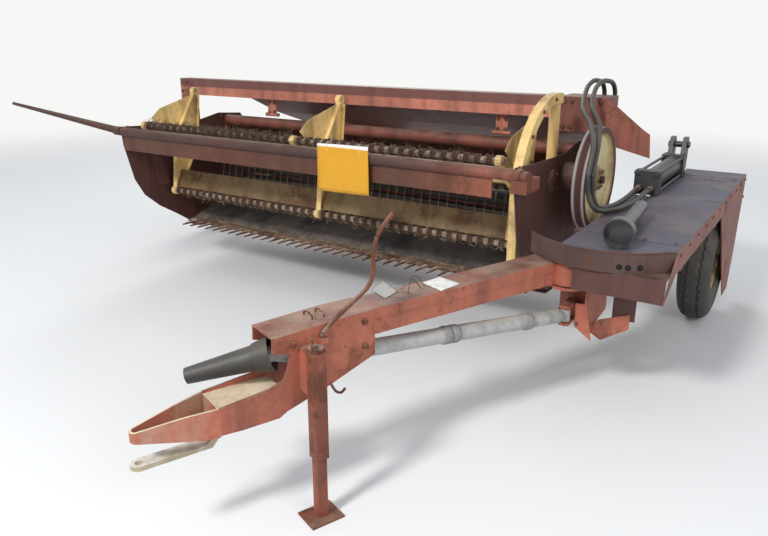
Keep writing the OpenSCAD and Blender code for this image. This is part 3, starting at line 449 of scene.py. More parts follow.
def piece(name, points, faces, body, finish, slot=None, smooth=True):
    """Makes a mesh from points and faces, gives it its finish and lets it ride on a body."""
    mesh = bpy.data.meshes.new(name)
    corners = [[int(v) for v in face] for face in faces]
    mesh.from_pydata(np.asarray(points, float).reshape(-1, 3).tolist(), [], corners)
    mesh.update()
    mesh.polygons.foreach_set("use_smooth", [smooth] * len(mesh.polygons))
    made = bpy.data.objects.new(name, mesh)
    bpy.context.scene.collection.objects.link(made)
    made.data.materials.append(FINISHES[finish])
    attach(made, body)
    return made


def grid_faces(rows, columns, closed_rows=False, closed_columns=True):
    """Quads of a grid of points, rows by columns, each way closed into a ring or left open."""
    i, j = np.meshgrid(np.arange(rows if closed_rows else rows - 1),
                       np.arange(columns if closed_columns else columns - 1), indexing="ij")
    a = i * columns + j
    b = i * columns + (j + 1) % columns
    c = ((i + 1) % rows) * columns + (j + 1) % columns
    d = ((i + 1) % rows) * columns + j
    return np.stack([a, b, c, d], -1).reshape(-1, 4)


def repeat(points, faces, frames):
    """Joined copies of one small shape; each frame is a row of three axes and an origin.
    Point = origin + x * axis1 + y * axis2 + z * axis3."""
    frames = np.asarray(frames, float).reshape(-1, 4, 3)
    points = np.asarray(points, float)
    placed = np.einsum("pk,nkc->npc", points, frames[:, :3]) + frames[:, None, 3]
    shifted = np.asarray(faces)[None] + (np.arange(len(frames)) * len(points))[:, None, None]
    return placed.reshape(-1, 3), shifted.reshape(-1, np.asarray(faces).shape[1])


def join(parts):
    """Several shapes, each its points and faces, as one."""
    offset, points, faces = 0, [], []
    for p, f in parts:
        points.append(np.asarray(p, float).reshape(-1, 3))
        faces += [[v + offset for v in face] for face in f]
        offset += len(points[-1])
    return np.concatenate(points), faces


def join_piece(name, parts, body, finish, slot=None, smooth=True):
    """One piece from several shapes."""
    return piece(name, *join(parts), body, finish, slot, smooth)


def prism_faces(sides):
    """Faces of a prism whose points are one end's ring and then the other's: walls and two ends."""
    walls = [[k, (k + 1) % sides, sides + (k + 1) % sides, sides + k] for k in range(sides)]
    return walls + [list(range(sides - 1, -1, -1)), list(range(sides, 2 * sides))]


def circle(count):
    """Angles spread evenly round a circle."""
    return np.linspace(0, 2 * np.pi, count, endpoint=False)


def smooth_route(points, count):
    """A smooth curve through points: Catmull-Rom cubics, sampled at equal steps of its length."""
    p = np.asarray(points, float)
    p = np.vstack([2 * p[0] - p[1], p, 2 * p[-1] - p[-2]])
    t = np.linspace(0, 1, 24, endpoint=False)[:, None]
    spans = [0.5 * (2 * b + (c - a) * t + (2 * a - 5 * b + 4 * c - d) * t ** 2
                    + (3 * b - a - 3 * c + d) * t ** 3)
             for a, b, c, d in zip(p[:-3], p[1:-2], p[2:-1], p[3:])]
    line = np.vstack([*spans, p[-2:-1]])
    run = np.r_[0, np.cumsum(np.linalg.norm(np.diff(line, axis=0), axis=1))]
    at = np.linspace(0, run[-1], count)
    return np.stack([np.interp(at, run, line[:, k]) for k in range(3)], 1)


def tube(line, radius, sides=12, ends=True):
    """A tube: at each point of the line a ring of the given radius, square to the line. The rings
    carry the last ring's side vector on, so that the tube doesn't twist."""
    line = np.asarray(line, float)
    radius = np.broadcast_to(np.asarray(radius, float), len(line))
    along = np.gradient(line, axis=0)
    along /= np.linalg.norm(along, axis=1)[:, None]
    side = np.cross(along, [0, 0, 1.0])
    weak = np.linalg.norm(side, axis=1) < 0.2
    side[weak] = np.cross(along[weak], [1.0, 0, 0])
    flips = np.sign(np.einsum("ij,ij->i", side[1:], side[:-1]))
    side[1:] *= np.cumprod(np.where(flips == 0, 1, flips))[:, None]
    side /= np.linalg.norm(side, axis=1)[:, None]
    up = np.cross(side, along)
    a = circle(sides)
    ring = np.cos(a)[None, :, None] * side[:, None] + np.sin(a)[None, :, None] * up[:, None]
    points = (line[:, None] + ring * radius[:, None, None]).reshape(-1, 3)
    faces = grid_faces(len(line), sides)[:, ::-1].tolist()
    if ends:
        faces += [list(range(sides)), list(range(len(points) - 1, len(points) - 1 - sides, -1))]
    return points, faces


def rod(route, radius, steps=40, sides=8):
    """A round rod bent smoothly through the points of its route."""
    return tube(smooth_route(route, steps), radius, sides)


def lathe(profile, centre, axis, steps=48):
    """A turned shape: radius and height pairs spun round an axis through the centre."""
    profile = np.asarray(profile, float)
    axis = np.asarray(axis, float) / np.linalg.norm(axis)
    side = np.cross(axis, [0, 0, 1.0] if abs(axis[2]) < 0.9 else [1.0, 0, 0])
    side /= np.linalg.norm(side)
    up = np.cross(axis, side)
    a = circle(steps)
    ring = np.cos(a)[:, None] * side + np.sin(a)[:, None] * up
    heights = np.asarray(centre, float) + profile[None, :, 1, None] * axis
    points = heights + profile[None, :, 0, None] * ring[:, None]
    return points.reshape(-1, 3), grid_faces(steps, len(profile), True, False).tolist()


def frames_at(spots, normals):
    """For each spot a frame whose third axis is the normal, each turned on by 0.7 rad from the one
    before, for bolt heads and the like."""
    spots = np.asarray(spots, float).reshape(-1, 3)
    n = np.broadcast_to(np.asarray(normals, float), spots.shape).copy()
    n /= np.linalg.norm(n, axis=1)[:, None]
    helper = np.where(np.abs(n[:, 2:]) < 0.9, [[0, 0, 1.0]], [[1.0, 0, 0]])
    u = np.cross(helper, n)
    u /= np.linalg.norm(u, axis=1)[:, None]
    v = np.cross(n, u)
    a = np.arange(len(spots))[:, None] * 0.7
    return np.stack([u * np.cos(a) + v * np.sin(a), -u * np.sin(a) + v * np.cos(a), n, spots], 1)


def bolt_shape(width):
    """Six-sided head with a chamfered top on a round washer: stacked rings of twelve points. The
    hexagon's radius is half the width over the cosine of the angle from the nearest flat."""
    a = circle(12)
    hexagon = np.cos((a + np.pi / 6) % (np.pi / 3) - np.pi / 6) ** -1 * width / 2
    washer, washer_foot, washer_top = np.full(12, width * 0.68), -0.0005, 0.0022
    rows = [(washer, washer_foot), (washer, washer_top), (hexagon, washer_top), (hexagon, width * 0.42),
            (hexagon * 0.86, width * 0.5), (hexagon * 0.02, width * 0.5)]
    points = np.concatenate([np.stack([r * np.cos(a), r * np.sin(a), np.full(12, z)], 1) for r, z in rows])
    return points, grid_faces(len(rows), 12)


def line_of(start, end, count):
    """Points at equal steps from start to end."""
    return np.linspace(np.asarray(start, float), np.asarray(end, float), count)


def bar(low, high, bevel=0.002):
    """A block between two corners with small chamfers: an eight-sided section swept along X."""
    (x0, y0, z0), (x1, y1, z1) = low, high
    b = bevel
    ring = np.array([[y0 + b, z0], [y1 - b, z0], [y1, z0 + b], [y1, z1 - b], [y1 - b, z1], [y0 + b, z1],
                     [y0, z1 - b], [y0, z0 + b]])
    points = np.concatenate([np.column_stack([np.full(8, x), ring]) for x in (x0, x1)])
    return points, prism_faces(8)


def sheet(corners, bend=0.0, thick=0.0015, rows=12, columns=16):
    """A thin closed sheet between four corners, in order round it. The point at shares s and t
    blends the corners and stands out by bend * sin(pi s) * cos(pi t) along the sheet's normal."""
    c = np.asarray(corners, float)
    s = np.linspace(0, 1, columns)[:, None, None]
    t = np.linspace(0, 1, rows)[None, :, None]
    flat = (c[0] * (1 - s) + c[1] * s) * (1 - t) + (c[3] * (1 - s) + c[2] * s) * t
    normal = np.cross(c[1] - c[0], c[3] - c[0])
    normal /= np.linalg.norm(normal)
    front = flat + bend * np.sin(np.pi * s) * np.cos(np.pi * t) * normal
    ring = np.concatenate([front, front[:, ::-1] - thick * normal], 1)
    faces = grid_faces(columns, 2 * rows)[:, ::-1].tolist()
    last = (columns - 1) * 2 * rows
    caps = [[k, k + 1, 2 * rows - 2 - k, 2 * rows - 1 - k] for k in range(rows - 1)]
    faces += caps + [[last + v for v in cap[::-1]] for cap in caps]
    return ring.reshape(-1, 3), faces


def stalk_set(starts, ways, mean, droop, bend, seed, thick=0.0013):
    """Many dry stalks of a mean length: each a three-sided tube on the curve
    start + way * t + sideways * bend * sin(pi t) - height * droop * t squared."""
    random = np.random.default_rng(seed)
    n, rings = len(starts), 5
    t = np.linspace(0, 1, rings)[None, :, None]
    run = ways / np.linalg.norm(ways, axis=1)[:, None]
    side = np.cross(run, random.normal(size=(n, 3)))
    side /= np.linalg.norm(side, axis=1)[:, None] + 1e-9
    up = np.cross(run, side)
    long = mean * random.uniform(0.5, 1.5, (n, 1, 1))
    sideways = side[:, None] * bend * random.normal(size=(n, 1, 1)) * np.sin(np.pi * t)
    line = starts[:, None] + run[:, None] * long * t + sideways
    line[..., 2] -= droop * (t[..., 0] ** 2) * long[..., 0]
    a = circle(3)
    ring = np.cos(a)[None, :, None] * side[:, None] + np.sin(a)[None, :, None] * up[:, None]
    thin = thick * random.uniform(0.6, 1.5, (n, 1, 1, 1)) * (1 - 0.6 * t[..., None])
    points = line[:, :, None] + ring[:, None] * thin
    base = grid_faces(rings, 3)
    faces = (base[None] + (np.arange(n) * rings * 3)[:, None, None]).reshape(-1, 4)
    return points.reshape(-1, 3), faces


def on_surface(node, starts, way):
    """Where rays from the starts first meet a solid, and how its surface faces there."""
    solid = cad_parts[node]
    corners = [solid.matrix_world @ v.co for v in solid.data.vertices]
    tree = BVHTree.FromPolygons(corners, [tuple(f.vertices) for f in solid.data.polygons])
    hits = [tree.ray_cast(Vector(s), Vector(way)) for s in np.asarray(starts, float).reshape(-1, 3)]
    hits = [h for h in hits if h[0] is not None]
    normals = np.array([h[1] if h[1].dot(Vector(way)) < 0 else -h[1] for h in hits])
    return np.array([h[0] for h in hits]), normals


# Operators, one for each group of like pieces

class MowerOperator:
    """What the operators share"""
    bl_options = {"REGISTER", "UNDO"}

    def execute(self, context):
        self.make(*settings())
        return {"FINISHED"}


class MOWER_OT_stage(MowerOperator, bpy.types.Operator):
    """Add the camera of the photographed view, a pale floor and soft lamps"""
    bl_idname = "mower.stage"
    bl_label = "Stage"

    # Where the photograph was taken from, how the camera was tilted and turned, in degrees, and the
    # view's focal length and width in pixels of the photograph
    eye = (2.65, -3.59, 1.65)
    tilt, turn = 71.7, 33.0
    focal_pixels, width_pixels = 709, 768
    sensor = 36.0
    # Light of the sky on the machine
    sky_colour, sky_strength = (0.84, 0.89, 0.97, 1.0), 0.60
    # Name, place, point aimed at, width in metres, power in watts
    lamps = (
        ("key", (0.4, -7.6, 6.4), (0.3, -0.4, 0.7), 1.5, 605),
        ("fill", (6.5, -3.0, 3.5), (0.3, 0.0, 0.8), 4.0, 130),
        ("back", (-3.0, 6.0, 4.5), (0.0, 0.0, 0.8), 4.0, 170),
    )

    def make(self, sizes, colours):
        scene = bpy.context.scene
        scene.view_settings.view_transform = "Standard"
        self.add_camera(scene)
        self.add_floor()
        self.add_sky(scene)
        for lamp in self.lamps:
            self.add_lamp(scene, *lamp)

    def add_camera(self, scene):
        camera = bpy.data.objects.new("camera", bpy.data.cameras.new("camera"))
        scene.collection.objects.link(camera)
        camera.data.sensor_width = self.sensor
        camera.data.lens = self.focal_pixels / self.width_pixels * self.sensor
        camera.data.clip_end = 200
        camera.location = place(*self.eye)
        camera.rotation_euler = (math.radians(self.tilt), 0.0, math.radians(self.turn))
        scene.camera = camera

    def add_floor(self):
        bpy.ops.mesh.primitive_plane_add(size=60)
        floor = bpy.context.object
        floor.name = "floor"
        floor.data.materials.append(floor_finish("floor"))

    def add_sky(self, scene):
        """The sky lights the machine, and the camera and reflections see white in its place."""
        scene.world = scene.world or bpy.data.worlds.new("world")
        scene.world.use_nodes = True
        tree = scene.world.node_tree
        sky = next(n for n in tree.nodes if n.type == "BACKGROUND")
        sky.inputs["Color"].default_value = self.sky_colour
        sky.inputs["Strength"].default_value = self.sky_strength
        white = tree.nodes.new("ShaderNodeBackground")
        white.inputs["Color"].default_value = (*WHITE, 1.0)
        either = tree.nodes.new("ShaderNodeMixShader")
        tree.links.new(seen_as_white(tree), either.inputs[0])
        tree.links.new(sky.outputs[0], either.inputs[1])
        tree.links.new(white.outputs[0], either.inputs[2])
        out = next(n for n in tree.nodes if n.type == "OUTPUT_WORLD")
        tree.links.new(either.outputs[0], out.inputs["Surface"])

    def add_lamp(self, scene, name, spot, aim, width, power):
        lamp = bpy.data.objects.new(name, bpy.data.lights.new(name, "AREA"))
        scene.collection.objects.link(lamp)
        lamp.data.shape = "DISK"
        lamp.data.size = width
        lamp.data.energy = power
        lamp.location = spot
        way = np.array(aim, float) - np.array(spot, float)
        pitch = math.pi / 2 + math.atan2(way[2], math.hypot(way[0], way[1]))
        yaw = math.atan2(way[1], way[0]) - math.pi / 2
        lamp.rotation_euler = (pitch, 0, yaw)


class MOWER_OT_finishes(MowerOperator, bpy.types.Operator):
    """Make the weathered finishes and paint the solids with them"""
    bl_idname = "mower.finishes"
    bl_label = "Finishes"

    # Which solids wear which finish
    nodes = {
        "red": "shoulder_shield right_leg right_rail side_rail lower_beam axle_left axle_right"
               " tongue_clevis gearbox windrow_shield_left windrow_shield_right tongue_beam gooseneck",
        "beam": "main_beam",
        # The dull parts and the rear hood wear a darker, bluer copy of the red: painted shade
        "dull": "left_leg left_shoulder deck_skirt roll_housing",
        "hood": "rear_hood",
        "jack": "jack_sleeve jack_leg",
        "push": "push_bar divider",
        "maroon": "right_end_sheet left_end_sheet drive_housing deck_channels",
        "band": "deck_front_band",
        "cream": "reel_arch reel_axle",
        "pale": "rim_left rim_right",
        "board": "reel_boards",
        "pulley": "pulley",
        "deck": "deck_top",
        "trough": "hitch_trough",
        "rusty": "hose_holder knife",
        "strap": "hitch_strap",
        "ledge": "cutter_bar",
        "tine": "tine_bars",
        "pan": "floor_pan",
        "chalk": "driveline",
        "guard": "shaft_guard",
        "rubber": "roll_upper roll_lower tyre_left tyre_right",
        "hose": "hose_left hose_right pto_shaft",
        "black_paint": "loose_cylinder cylinder_clevis",
    }
    # Heights above which the beam's top band and the push bar's tube are painted as shade, the tube's with a
    # bluish sky reflection, and at which the card ends
    beam_edge, push_edge, card_top = 1.262, 0.996, 1.095

    def make(self, sizes, colours):
        c = {name: tuple(getattr(colours, name)) for name in MowerColours.__annotations__}
        paint = functools.partial(old_paint, rust=c["rust"], dust=c["dust"])
        FINISHES.update(self.reds(c, paint))
        FINISHES.update(self.other_paints(c, paint))
        FINISHES.update(self.steels(c, functools.partial(flaked_steel, dust=c["dust"])))
        FINISHES.update(self.plastics(c))
        FINISHES.update(self.loose_things(c))
        for finish, names in self.nodes.items():
            for name in names.split():
                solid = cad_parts[name]
                solid.data.materials.clear()
                solid.data.materials.append(FINISHES[finish])

    def reds(self, c, paint):
        """Red and dark red paint, from the beam's painted sunlight to the brown push bar, with painted shade
        on the dull parts, the rear hood, the beam's top band and the push bar's tube.
        """
        red, red_dull, maroon, rust, dust = c["red"], c["red_dull"], c["maroon"], c["rust"], c["dust"]
        # A darker, bluer copy of the red and of its dull tone, as painted shade for the dull parts and the
        # rear hood
        dark, shaded_red_dull = shade(red, 0.62, 0.66, 0.72), shade(red_dull, 0.8)
        # faded is a brighter, paler copy of the red: painted sunlight on the beam's front
        faded, rusted = shade(red, 1.45, 1.75, 1.95), shade(red, 0.8, 0.72, 0.68)
        # brown is the push bar's skirt; the dark, bluish copy of the maroon is painted shade with the sky's
        # reflection on its tube
        brown, push_tube_shade = shade(rust, 1.05, 1.12, 1.25), shade(maroon, 0.62, 0.85, 0.95)
        band, band_dull = shade(maroon, 0.9, 1.2, 1.2), shade(maroon, 0.55, 0.8, 0.85)
        grit = shade(dust, 1.15, 1.1, 1.1)
        return {
            "red": paint("red_paint", red, red_dull, top=0.65, patches=0.7),
            # Beam: painted sunlight on its front, and above its edge height a band of the dull red as painted
            # shade
            "beam": paint("beam_paint", faded, red_dull, top=0.8, patches=0.45, film=0.2, edge=self.beam_edge,
                          above=red_dull),
            "dull": paint("dull_red_paint", dark, shaded_red_dull, top=0.5, patches=0.7, film=0.2),
            "hood": paint("hood_paint", dark, shaded_red_dull, top=0.7, patches=0.4, film=0.08),
            "jack": paint("rusted_red_paint", rusted, shade(rust, 1.1), top=0.4, patches=1.2, film=0.2),
            # Push bar: brown skirt, and above its edge height a tube painted as shade with the sky's
            # reflection
            "push": paint("brown_paint", brown, shade(rust, 0.6), top=0.35, patches=0.8, film=0.12,
                          edge=self.push_edge, above=push_tube_shade, far=(0.75, 1.40, red)),
            "maroon": paint("dark_paint", maroon, shade(maroon, 0.6), top=0.4, patches=0.6, film=0.15),
            "band": paint("band_paint", band, band_dull, top=0.4, patches=1.0, film=0.2),
            "trough": paint("dusty_red_paint", red, grit, dust=shade(dust, 1.35), top=0.9, patches=0.35,
                            film=0.7),
        }

    def other_paints(self, c, paint):
        """Cream paint of reel, rims and pulley, the deck's film and the driveline's chalky grey."""
        cream, stain, chalk, rust = c["cream"], c["cream_dull"], c["chalk"], c["rust"]
        pale, disc = shade(cream, 0.85, 0.98, 1.25), shade(cream, 0.8, 0.95, 1.35)
        board, board_dull = shade(cream, 0.24, 0.22, 0.24), shade(stain, 0.4)
        middle = place(0.0, 0.125, 0.920)
        return {
            "cream": paint("cream_paint", cream, stain, top=0.2, patches=0.5, film=0.1),
            "pale": paint("pale_paint", pale, stain, top=0.2, patches=0.7, film=0.1),
            "board": paint("stained_cream_paint", board, board_dull, top=0.2, patches=1.0, film=0.1),
            "pulley": disc_paint("pulley_paint", middle, disc, stain, c["maroon"], chalk, rust),
            "deck": chalked_deck("deck_film", c["deck"], rust, c["dust"], c["red_dull"]),
            "chalk": paint("chalky_grey", chalk, shade(chalk, 0.55), top=0.2, patches=0.4),
        }

    def steels(self, c, steel):
        """Bare and rusted steel."""
        bare, rust, blank, grit = c["bare"], c["rust"], c["blank"], shade(c["dust"], 0.55)
        ochre, dark = shade(rust, 0.9, 1.0, 1.1), shade(rust, 0.55, 0.6, 0.7)
        tine, tine_dull = shade(c["chalk"], 1.1, 1.0, 0.9), shade(bare, 0.55, 0.5, 0.46)
        return {
            "strap": steel("strap_steel", shade(blank, 0.8), grit, dust=shade(blank, 0.9), shine=0.9,
                           scale=9.0, film=0.8),
            "ledge": steel("ledge_steel", bare, rust, shine=0.5, scale=14.0, film=0.85),
            "rusty": steel("rusty_steel", bare, rust),
            "worn": steel("worn_steel", bare, ochre, shine=1.0, scale=26.0, film=0.2),
            "tine": steel("tine_steel", tine, tine_dull, shine=1.0, scale=30.0, film=0.1),
            "coil": steel("coil_steel", shade(bare, 0.8), dark, shine=0.35, scale=26.0, film=0.1),
            "pan": steel("pan_steel", shade(c["pan"], 1.5), c["pan"], shine=0.3, scale=10.0, film=0.12),
        }

    def plastics(self, c):
        """Rubber, plastic, smooth black paint, and plates as smooth as these."""
        black, dust, chalk, blank = c["black"], c["dust"], c["chalk"], c["blank"]
        shade_in_holes, grey = (0.004, 0.004, 0.004), (0.01, 0.01, 0.01)
        return {
            "guard": rubber("guard_plastic", shade(black, 0.9), chalk, grain=90.0, dusty=0.4, gloss=0.25),
            "collar": rubber("collar_plastic", shade(chalk, 0.5), chalk, grain=90.0, dusty=0.6, gloss=0.5),
            "rubber": rubber("dusty_rubber", black, dust, grain=70.0, dusty=0.55, gloss=0.75),
            "hose": rubber("hose_rubber", shade(black, 0.8), dust, grain=240.0, dusty=0.25, gloss=0.42),
            "black_paint": rubber("black_paint", black, chalk, grain=45.0, dusty=0.35, gloss=0.4),
            "plate": rubber("pale_plate", shade(blank, 0.8), blank, grain=30.0, dusty=0.5, gloss=0.35),
            "tag": rubber("grey_tag", shade(chalk, 0.6), chalk, grain=30.0, dusty=0.4, gloss=0.35),
            # Near-black discs for the holes in the deck's band: painted shade inside the holes
            "dark": rubber("painted_hole_shade", shade_in_holes, grey, grain=40.0, dusty=0.1, gloss=0.9),
        }

    def loose_things(self, c):
        """Hay and the blank card."""
        return {
            "straw": stalks("straw", c["straw"]),
            "dark_straw": stalks("dark_straw", shade(c["straw"], 0.34, 0.30, 0.32)),
            "card": blank_card("card", c["card"], c["blank"], self.card_top),
        }


class MOWER_OT_hoses(MowerOperator, bpy.types.Operator):
    """Lay both hydraulic hoses from the frame over the deck to the loose cylinder"""
    bl_idname = "mower.hoses"
    bl_label = "Hoses"

    # Crimped sleeve at each end of a hose: radius and distance along it
    sleeve = [(0.0135, 0.000), (0.0175, 0.001), (0.0175, 0.012), (0.0155, 0.013), (0.0155, 0.046),
              (0.0138, 0.050)]

    def make(self, sizes, colours):
        # A little thinner than the solid that it stands for
        width = sizes.hose * 0.985
        for name, route in HOSE_ROUTES.items():
            line = smooth_route(places(route), 150)
            made = join_piece(name + "_rubber", [tube(line, width / 2, 16)], "frame", "hose", "hose")
            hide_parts(name)
            sleeves = []
            for end in (line[:2], line[:-3:-1]):
                axis = end[1] - end[0]
                foot = end[0] + axis / np.linalg.norm(axis) * 0.001
                sleeves.append(lathe(self.sleeve, foot, axis, 18))
            crimp = join_piece(name + "_ends", sleeves, "frame", "worn", "rust")


class MOWER_OT_tyres(MowerOperator, bpy.types.Operator):
    """Put ribbed tyres, lug nuts and hub caps on both wheels"""
    bl_idname = "mower.tyres"
    bl_label = "Tyres"

    # The tyre's outer radius, its radius on the rim and half its width
    outer, seat, half = 0.3598, 0.1926, 0.0898
    # Zigzag grooves: their places across the tread, how many waves and how far they swing
    grooves, waves, swing = (-0.036, 0.0, 0.036), 44, 0.006
    # Notches in the shoulders: how many, how deep, and how far out they begin
    notches, notch_depth, shoulder = 66, 0.006, 0.056
    # Radius of the ring of lug nuts, and how far nuts and hub cap stand out of the wheel's middle
    nut_ring, nut_face, cap_face = 0.088, 0.0272, 0.0600
    cap = [(0.0400, 0.0), (0.0400, 0.010), (0.0360, 0.016), (0.0280, 0.018), (0.0005, 0.0185)]

    def make(self, sizes, colours):
        for side, (x, out) in WHEELS.items():
            body = side + "_wheel"
            centre = place(x, WHEEL_Y, WHEEL_Z)
            tyre = piece("tyre_" + side + "_ribbed", *self.tyre(centre, sizes.tread), body, "rubber", "tyre")
            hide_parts("tyre_" + side)
            nuts = ring_across(x + out * self.nut_face, WHEEL_Y, WHEEL_Z, self.nut_ring, circle(6))
            heads = repeat(*bolt_shape(0.024), frames_at(nuts, (out, 0, 0)))
            piece("lug_nuts_" + side, *heads, body, "rusty", smooth=False)
            cap = lathe(self.cap, centre + (out * self.cap_face, 0, 0), (out, 0, 0), 32)
            join_piece("hub_cap_" + side, [cap], body, "rusty")

    def tyre(self, centre, tread):
        """A tyre round X. At the angle t of its section the half width goes with the square root of
        cos t and the height with sin t to the power 0.62. Grooves that zigzag round the tyre and
        notches in its shoulders are cut into the crown, and fine rings stand on the sides."""
        around, across = 320, 60
        t = np.linspace(0.0, np.pi, across)
        a = circle(around)
        wide = np.sign(np.cos(t)) * np.abs(np.cos(t)) ** 0.5
        tall = np.abs(np.sin(t)) ** 0.62
        h = self.half * wide * (0.86 + 0.14 * np.sin(np.clip(tall, 0, 1) * np.pi * 0.9) ** 0.7)
        r = np.broadcast_to(self.seat + (self.outer - self.seat) * tall, (around, across)).copy()
        crown = np.clip((tall - 0.90) / 0.05, 0, 1)
        zigzag = self.swing * np.abs(((a * self.waves / (2 * np.pi)) % 1.0) * 4 - 2)[:, None] - self.swing
        for middle in self.grooves:
            near = np.abs(h[None] - middle - zigzag)
            r -= tread * crown * (1 - np.clip((near - 0.0035) / 0.003, 0, 1))
        from_notch = np.abs(((a * self.notches / (2 * np.pi)) % 1.0) - 0.5)
        notch = np.clip((from_notch - 0.36) / 0.06, 0, 1)[:, None]
        r -= self.notch_depth * crown * notch * (np.abs(h)[None] > self.shoulder)
        rings = 0.0012 * np.sin(np.clip((r - self.seat) / 0.1, 0, 1) * 26)
        h = h[None] + np.sign(h)[None] * rings * (tall < 0.86)
        points = centre + np.stack([h, r * np.cos(a)[:, None], r * np.sin(a)[:, None]], -1)
        return points, grid_faces(around, across, True, True)


class MOWER_OT_tines(MowerOperator, bpy.types.Operator):
    """Wind the spring coil of every reel tine round its bar"""
    bl_idname = "mower.tines"
    bl_label = "Tine coils"

    # Turns of a coil, its width along the bar and the radius of its wire
    turns, width, wire = 2.5, 0.030, 0.0034

    def make(self, sizes, colours):
        s = np.linspace(0, 1, 36)
        ring = sizes.coil / 2 - self.wire
        for number, (arm, tine) in enumerate(TINE_BARS):
            a = np.radians(tine + 90) + s * self.turns * 2 * np.pi
            line = np.stack([(s - 0.5) * self.width, ring * np.cos(a), ring * np.sin(a)], 1)
            points, faces = tube(line, self.wire, 6, ends=False)
            at = on_reel(arm, REEL_RADIUS, TINE_PLACES)
            frames = np.concatenate([np.broadcast_to(np.eye(3), (len(at), 3, 3)), at[:, None]], 1)
            piece(f"tine_coils_{number + 1}", *repeat(points, faces, frames), "reel", "coil", "rust")


class MOWER_OT_webs(MowerOperator, bpy.types.Operator):
    """Fill the sheet of each spider between its upper arms"""
    bl_idname = "mower.webs"
    bl_label = "Spider webs"

    # Corners of a web, as angle and radius on the reel, and where its two faces lie on the spider
    outline = [(72, 0.338), (88, 0.296), (130, 0.318), (147, 0.338), (152, 0.20), (150, 0.05), (70, 0.05)]
    faces = (0.0030, 0.0060)

    def make(self, sizes, colours):
        webs = []
        for x in SPIDERS:
            ring = [on_reel(angle, radius, x + face) for face in self.faces for angle, radius in self.outline]
            webs.append((ring, prism_faces(len(self.outline))))
        join_piece("spider_webs", webs, "reel", "cream", "cream", smooth=False)


class MOWER_OT_card(MowerOperator, bpy.types.Operator):
    """Hang the blank card on the push bar and lay the blank plates on the tongue"""
    bl_idname = "mower.card"
    bl_label = "Card and plates"

    # The card's corners, and the ties round the push bar: where each is and its route as y and z
    card = [(0.268, -0.587, 0.838), (0.605, -0.587, 0.845), (0.601, -0.587, 1.099), (0.271, -0.587, 1.093)]
    tie_places = (0.335, 0.545)
    tie = [(-0.5895, 1.076), (-0.5930, 1.088), (-0.5840, 1.102), (-0.5600, 1.101), (-0.5280, 1.086),
           (-0.5060, 1.055), (-0.5040, 1.020), (-0.5240, 0.996), (-0.5530, 0.994), (-0.5760, 1.012),
           (-0.5815, 1.045), (-0.5840, 1.072)]
    # Corners of plate and tag on the tongue's top, their height and thickness, and the tag's wires
    plate = [(1.326, -1.273), (1.434, -1.313), (1.459, -1.201), (1.351, -1.170)]
    tag = [(1.207, -1.459), (1.300, -1.504), (1.300, -1.412), (1.180, -1.334)]
    high, thick = 0.7085, 0.0028
    wires = (
        [(1.352, -1.300, 0.7080), (1.338, -1.318, 0.744), (1.325, -1.345, 0.756), (1.318, -1.372, 0.734),
         (1.300, -1.392, 0.7080)],
        [(1.345, -1.412, 0.7080), (1.340, -1.392, 0.742), (1.335, -1.368, 0.752), (1.345, -1.345, 0.730),
         (1.352, -1.330, 0.7080)],
    )

    def make(self, sizes, colours):
        join_piece("card", [sheet(places(self.card), 0.006)], "header", "card", "cream")
        ties = [rod(places((x, *p) for p in self.tie), 0.0013, 60, 6) for x in self.tie_places]
        join_piece("card_ties", ties, "header", "plate", "grey")
        for name, corners, finish in (("tongue_plates", self.plate, "plate"),
                                      ("tongue_tag", self.tag, "tag")):
            flat = sheet(places((*corner, self.high) for corner in corners), 0.0, self.thick)
            join_piece(name, [flat], "tongue", finish, "grey")
        wires = [rod(places(route), 0.0016, sides=6) for route in self.wires]
        join_piece("tongue_wires", wires, "tongue", "worn", "rust")


class Heads:
    """Bolt heads and rivets, gathered by the body that they ride on and by their finish"""

    def __init__(self, usual):
        self.usual, self.frames = usual, {}

    def add(self, body, spots, normals, width=None, finish="rusty"):
        frames = frames_at(spots, normals)
        frames[:, :3] *= width or self.usual
        self.frames.setdefault((body, finish), []).append(frames)

    def cast(self, body, node, starts, way, width=None, finish="rusty"):
        """Heads where rays from the starts meet a solid."""
        self.add(body, *on_surface(node, starts, way), width, finish)

    def make(self):
        for (body, finish), frames in self.frames.items():
            joined = repeat(*bolt_shape(1.0), np.concatenate(frames))
            piece(f"bolts_{body}_{finish}", *joined, body, finish, "rust", smooth=False)


